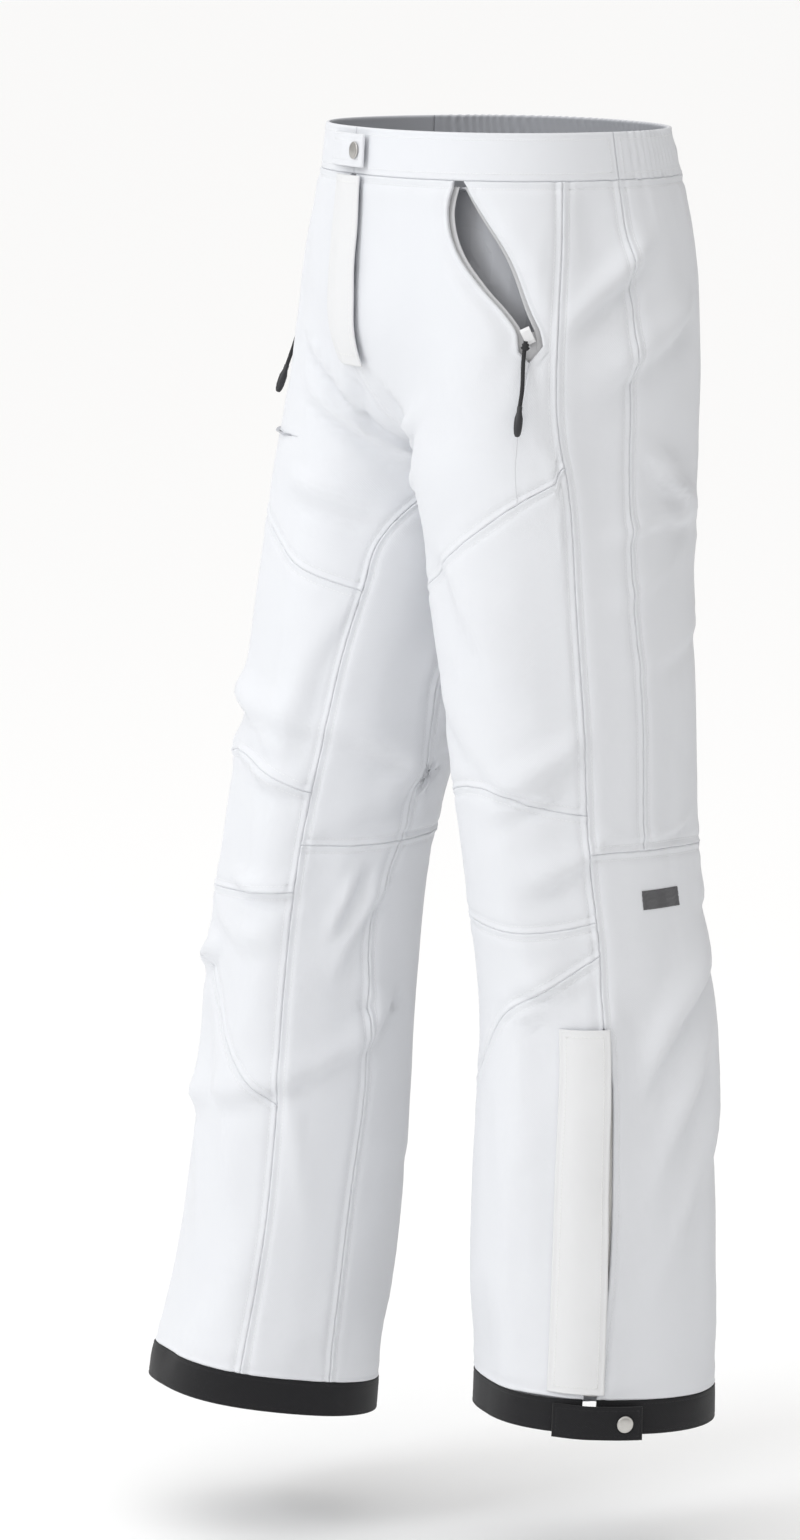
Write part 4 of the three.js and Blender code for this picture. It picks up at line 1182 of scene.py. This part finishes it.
fly = plain_strip("left", FLY["left"], FLY["right"], level(FLY["bottom"]), level(BAND - 1), FLY["width"], FLY["tall"],
                  lambda s, t, u, v: 1.4 + 3.0 * step(s, 0, .5), FLY["thick"], 4,
                  lambda s, t, u, v: .35 * np.sin(v / 9.0) * step(s, .5, 1))
sew("fly_cover", "left", fly, "fly_flap", ("fly_flap",), FLAP_CLOTH, SHELL)
tab = plain_strip("left", STRAP["left"], STRAP["right"], level(STRAP["bottom"]), level(STRAP["top"]), STRAP["width"],
                  STRAP["tall"], lambda s, t, u, v: 0.8 + 0.5 + 2.7 * step(s, 0, .5) + 1.2, STRAP["thick"], 3,
                  lambda s, t, u, v: .15 * np.sin(s * 17))
sew("waist_strap", "left", tab, "waist_tab", ("waist_tab",), SHELL, SHELL)


def tab_end(side):
    """Where the hem tab ends, its own length round the leg from its root."""
    girth = tangents(side, np.array([.44]), np.array([-940.0]))[3][0]
    return TAB_ROOT + TAB_LENGTH / girth


for side in SIDES:
    low = lambda u, side=side: hem_bottom(side)(u) - TAB_DROP
    tab = plain_strip(side, TAB_ROOT, tab_end(side), low, lambda u, low=low: low(u) + TAB_HEIGHT, TAB_LENGTH, TAB_HEIGHT,
                      lambda s, t, u, v: .6 + .7 + 2.7 * step(s, 0, .4) + 1.1, TAB_THICK, 3,
                      lambda s, t, u, v: .25 * np.sin(s * 9 + t * 3))
    sew(f"{side}_tab", side, tab, f"{side}_hem_tab", (f"{side}_hem_tab",), HEM_CLOTH, HEM_CLOTH)

# %% Embroidery
BAR_U, BAR_V = (.531, .606), (-560, -546)
bar = strip("left", level(BAR_U[0]), level(BAR_U[1]), level(BAR_V[0]), level(BAR_V[1]), 38, 14,
            lambda s, t, u, v: .35 + .22 * np.sin(u * GIRTH * 4.2 + v * 1.6), 1.0, interior=.5, follow=1)
sew("embroidered_bar", "left", bar, "knee", (), THREAD, THREAD)

# %% Snaps
CAP = [(0, 1.75), (2.6, 1.7), (4.6, 1.45), (5.5, 1.15), (5.9, 1.3), (6.25, .95), (6.25, .35), (5.9, 0), (0, 0)]
STUD = [(0, .2), (1.4, .2), (1.8, 1.2), (2.9, 1.2), (3.3, .55), (4.3, .45), (4.6, .25), (4.5, 0), (0, 0)]


def disc_axis(node):
    """Centre and outward axis of a CAD disc, in metres."""
    co = np.array([p.co for p in nodes[node].data.vertices])
    centre = co.mean(0)
    axis = np.linalg.svd(co - centre)[2][2]
    return centre, axis


def outward(axis, centre, inside):
    return axis if np.dot(axis, centre - inside) > 0 else -axis


def set_snap(name, node, profile, thickness, body, inside):
    centre, axis = disc_axis(node)
    axis = outward(axis, centre, inside)
    piece = lathe(name, profile[::-1], NICKEL, 40)
    aim_z(piece, centre - axis * thickness / 2 * MM, axis)
    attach(piece, body)
    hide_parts(node)


for side in SIDES:
    inside = np.array([SIGN[side] * .104, np.mean([p[1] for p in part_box(f"{side}_hem_band")]), -.94])
    set_snap(f"{side}_cap", f"{side}_hem_snap_cap", CAP, 1.6, f"{side}_hem_tab", inside)
    set_snap(f"{side}_stud", f"{side}_hem_snap_stud", STUD, 1.2, f"{side}_shin", inside)
set_snap("waist_cap", "waist_snap_cap", CAP, 1.6, "waist_tab", np.zeros(3))
set_snap("waist_stud", "waist_snap_stud", STUD, 1.2, "garment", np.zeros(3))

# %% [markdown]
# ## Linings, tapes and zips
# The pocket bags, snow gaiters and zip tapes are soft solids in the CAD part. Each is cut finer
# here, given the slack of thin cloth, and covered with its own weave.

# %% Soft inner pieces


def soften(node, name, body, material, amount, seed, cell=6.0, wave=None):
    """A finer, softly uneven copy of a CAD soft solid."""
    mesh = nodes[node].data.copy()
    work = bmesh.new()
    work.from_mesh(mesh)
    for edge in work.edges:
        edge.smooth = True
    for _ in range(3):
        long = [e for e in work.edges if e.calc_length() > 2 * cell * MM]
        if not long:
            break
        bmesh.ops.subdivide_edges(work, edges=long, cuts=1, use_grid_fill=True)
    bmesh.ops.triangulate(work, faces=[f for f in work.faces if len(f.verts) > 4])
    work.normal_update()
    co = np.array([p.co for p in work.verts]) / MM
    normal = np.array([p.normal for p in work.verts])
    field = noise_field(seed, 21, 33)
    around = np.arctan2(co[:, 1] - co[:, 1].mean(), co[:, 0] - co[:, 0].mean()) / (2 * np.pi) % 1
    shift = amount * field(around, co[:, 2])
    if wave is not None:
        shift = shift + wave(around, co)
    smooth_co = (co + normal * shift[:, None]) * MM
    for vert, p in zip(work.verts, smooth_co):
        vert.co = p
    work.to_mesh(mesh)
    area = sum(f.calc_area() for f in work.faces) / 2
    work.free()
    mesh.name = name
    mesh.materials.clear()
    mesh.materials.append(material)
    loops = np.zeros(len(mesh.loops), int)
    mesh.loops.foreach_get("vertex_index", loops)
    for layer in list(mesh.uv_layers):
        mesh.uv_layers.remove(layer)
    flat_uv = np.stack([around * GIRTH * .1, co[:, 2] * .1], -1)
    mesh.uv_layers.new(name="cloth").data.foreach_set("uv", flat_uv[loops].ravel())
    mesh.polygons.foreach_set("use_smooth", [True] * len(mesh.polygons))
    piece = bpy.data.objects.new(name, mesh)
    bpy.context.scene.collection.objects.link(piece)
    piece.matrix_world = nodes[node].matrix_world
    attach(piece, body)
    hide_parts(node)
    low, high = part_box(node)
    long = max(high[k] - low[k] for k in range(3))
    return piece


def gaiter_wave(around, co):
    """Gathers of the elasticated gaiter."""
    low = step(-co[:, 2], 800, 910)
    return (.5 + .9 * low) * np.sin(2 * np.pi * 26 * around + 1.3 * np.sin(2 * np.pi * 5 * around))


for number, side in enumerate(SIDES):
    soften(f"{side}_pocket_bag", f"{side}_bag", "garment", LINING, 1.2, 40 + number)
    soften(f"{side}_snow_gaiter", f"{side}_gaiter", f"{side}_shin", LINING, .6, 44 + number,
           wave=gaiter_wave)
    soften(f"{side}_leg_zip_tape", f"{side}_leg_tape", f"{side}_shin", TAPE, .15, 48 + number)
    for line, part, front_lap, rear_lap, depth in ((pocket_front, "front", 5, 4.2, -4.0), (pocket_rear, "rear", 4.2, 5, -4.35)):
        low = lambda v, line=line, lap=front_lap: line(height_of(v)) - lap / GIRTH
        high = lambda v, line=line, lap=rear_lap: line(height_of(v)) + lap / GIRTH
        tape = strip(side, low, high, level(-153), level(-38), 10, 115, flat_at(depth), 1.1, 3, follow=1)
        stands_for = (f"{side}_pocket_zip_tape",) if part == "front" else ()
        sew(f"{side}_pocket_tape_{part}", side, tape, "garment", stands_for, GREY_TAPE, GREY_TAPE)
soften("fly_zip_tape", "fly_tape", "garment", TAPE, .1, 56)

# %% Zip teeth
TOOTH = np.array([(-.5, -.5, -.5), (.5, -.5, -.5), (.5, .5, -.5), (-.5, .5, -.5),
                  (-.4, -.4, .5), (.4, -.4, .5), (.4, .4, .5), (-.4, .4, .5)])
MOUTH_TEETH = dict(pitch=1.7, depth=-1.6, size=(1.9, 1.0, 1.2))
MOUTH_END, BASE_REACH = -136, 12
TOOTH_FACES = [(3, 2, 1, 0), (4, 5, 6, 7), (0, 1, 5, 4), (1, 2, 6, 5), (2, 3, 7, 6), (3, 0, 4, 7)]


def teeth(name, side, line, low, high, aside, body, pitch=2.2, depth=-2.6, size=(2.0, 1.25, 1.3)):
    """A row of moulded teeth along a line of the cloth, set aside from it in millimetres."""
    fine = np.linspace(low, high, 200)
    run = surface(side, line(fine), fine)
    length = np.concatenate([[0], np.cumsum(np.linalg.norm(np.diff(run, axis=0), axis=1))])
    v = np.interp(np.arange(pitch / 2, length[-1], pitch), length, fine)
    u = line(v)
    out = tangents(side, u, v)[2]
    ahead = surface(side, line(v + 1), v + 1) - surface(side, line(v - 1), v - 1)
    ahead = ahead / np.linalg.norm(ahead, axis=-1, keepdims=True)
    beside = np.cross(ahead, out)
    centre = surface(side, u, v) + out * depth - beside * aside * SIGN[side]
    co, faces = [], []
    for k in range(len(v)):
        co.append(centre[k] + (TOOTH[:, :1] * size[0]) * beside[k] + (TOOTH[:, 1:2] * size[1]) * ahead[k]
                  + (TOOTH[:, 2:] * size[2]) * out[k])
        faces += [tuple(8 * k + i for i in f) for f in TOOTH_FACES]
    piece = mesh_object(name, np.concatenate(co), faces, TEETH)
    piece.data.polygons.foreach_set("use_smooth", [False] * len(faces))
    place_piece(piece, body)
    return len(v)


count = 0
for side in SIDES:
    for aside, way in ((-.75, "front"), (.75, "rear")):
        count += teeth(f"{side}_leg_teeth_{way}", side, side_front, -912, -662, aside, f"{side}_shin")
    for line, way, aside in ((pocket_front, "front", 1.6), (pocket_rear, "rear", -1.6)):
        count += teeth(f"{side}_mouth_teeth_{way}", side, line, cloth_height(MOUTH_END), -48, aside, "garment",
                       **MOUTH_TEETH)
    base = strip(side, lambda v: mouth_split(v) - BASE_REACH / GIRTH, lambda v: mouth_split(v) + BASE_REACH / GIRTH,
                 level(-159), level(cloth_height(-138)), 24, 20, flat_at(-5.2), 1.0, 3, follow=1)
    sew(f"{side}_mouth_base", side, base, "garment", (), GREY_TAPE, GREY_TAPE)
for aside, way in ((-.75, "left"), (.75, "right")):
    count += teeth(f"fly_teeth_{way}", "left", lambda v: 0 * v, -140, -58, aside, "garment")
print(count, "zip teeth")

# %% Sliders and pulls
SIDE_METAL = ("leg_zip_slider", "leg_zip_pull", "pocket_slider")
for name in [f"{side}_{part}" for side in SIDES for part in SIDE_METAL] + ["fly_zip_slider", "fly_zip_pull"]:
    nodes[name].data.materials.clear()
    nodes[name].data.materials.append(ENAMEL)

# %% [markdown]
# ## Floor and light
# White cloth on a pale ground needs soft light from one side, so that the folds are drawn by
# gentle shadows. A broad light stands to the front, and a weak one fills the back.

# %% Floor, light and colour
FLOOR_Z, FLOOR_HALF = -1.062, 150
floor_mesh = bpy.data.meshes.new("floor")
corners = ((-1, -1), (1, -1), (1, 1), (-1, 1))
floor_mesh.from_pydata([(x * FLOOR_HALF, y * FLOOR_HALF, FLOOR_Z) for x, y in corners], [], [(0, 1, 2, 3)])
floor = bpy.data.objects.new("floor", floor_mesh)
bpy.context.scene.collection.objects.link(floor)
floor_material = bpy.data.materials.new("pale floor")
floor_material.use_nodes = True
floor_shader = floor_material.node_tree.nodes["Principled BSDF"]
floor_shader.inputs["Base Color"].default_value = (.975, .978, .982, 1)
floor_shader.inputs["Roughness"].default_value = .9
floor_mesh.materials.append(floor_material)


def area_light(name, azimuth, elevation, distance, size, power, colour=(1, 1, 1)):
    way = direction_to(math.radians(azimuth), math.radians(elevation))
    lamp = bpy.data.objects.new(name, bpy.data.lights.new(name, "AREA"))
    lamp.data.shape, lamp.data.size, lamp.data.size_y = "RECTANGLE", size, size * 1.3
    lamp.data.energy, lamp.data.color = power, colour
    lamp.location = Vector((0, -0.05, -0.4)) + way * distance
    lamp.rotation_euler = way.to_track_quat("Z", "Y").to_euler()
    bpy.context.scene.collection.objects.link(lamp)


area_light("key", 4, 30, 3.4, 1.1, 32, (.95, .975, 1))
area_light("side fill", 75, 30, 3.6, 2.2, 1.5)
world = bpy.data.worlds.new("studio")
world.use_nodes = True
sky = world.node_tree
direction = sky.nodes.new("ShaderNodeTexCoord")
parts = sky.nodes.new("ShaderNodeSeparateXYZ")
sky.links.new(direction.outputs["Generated"], parts.inputs[0])
overhead = math_node(sky, "MAXIMUM", parts.outputs[2], 0.0)
above = math_node(sky, "ADD", math_node(sky, "MULTIPLY", overhead, 1.16), 0.33)
behind = math_node(sky, "MULTIPLY", math_node(sky, "MAXIMUM", parts.outputs[1], 0.0), 0.98)
strength = math_node(sky, "MULTIPLY", above, math_node(sky, "SUBTRACT", 1.1, behind))
sky.links.new(strength, sky.nodes["Background"].inputs["Strength"])
sky.nodes["Background"].inputs["Color"].default_value = (1, .992, .98, 1)
bpy.context.scene.world = world
bpy.context.scene.view_settings.view_transform = "Standard"
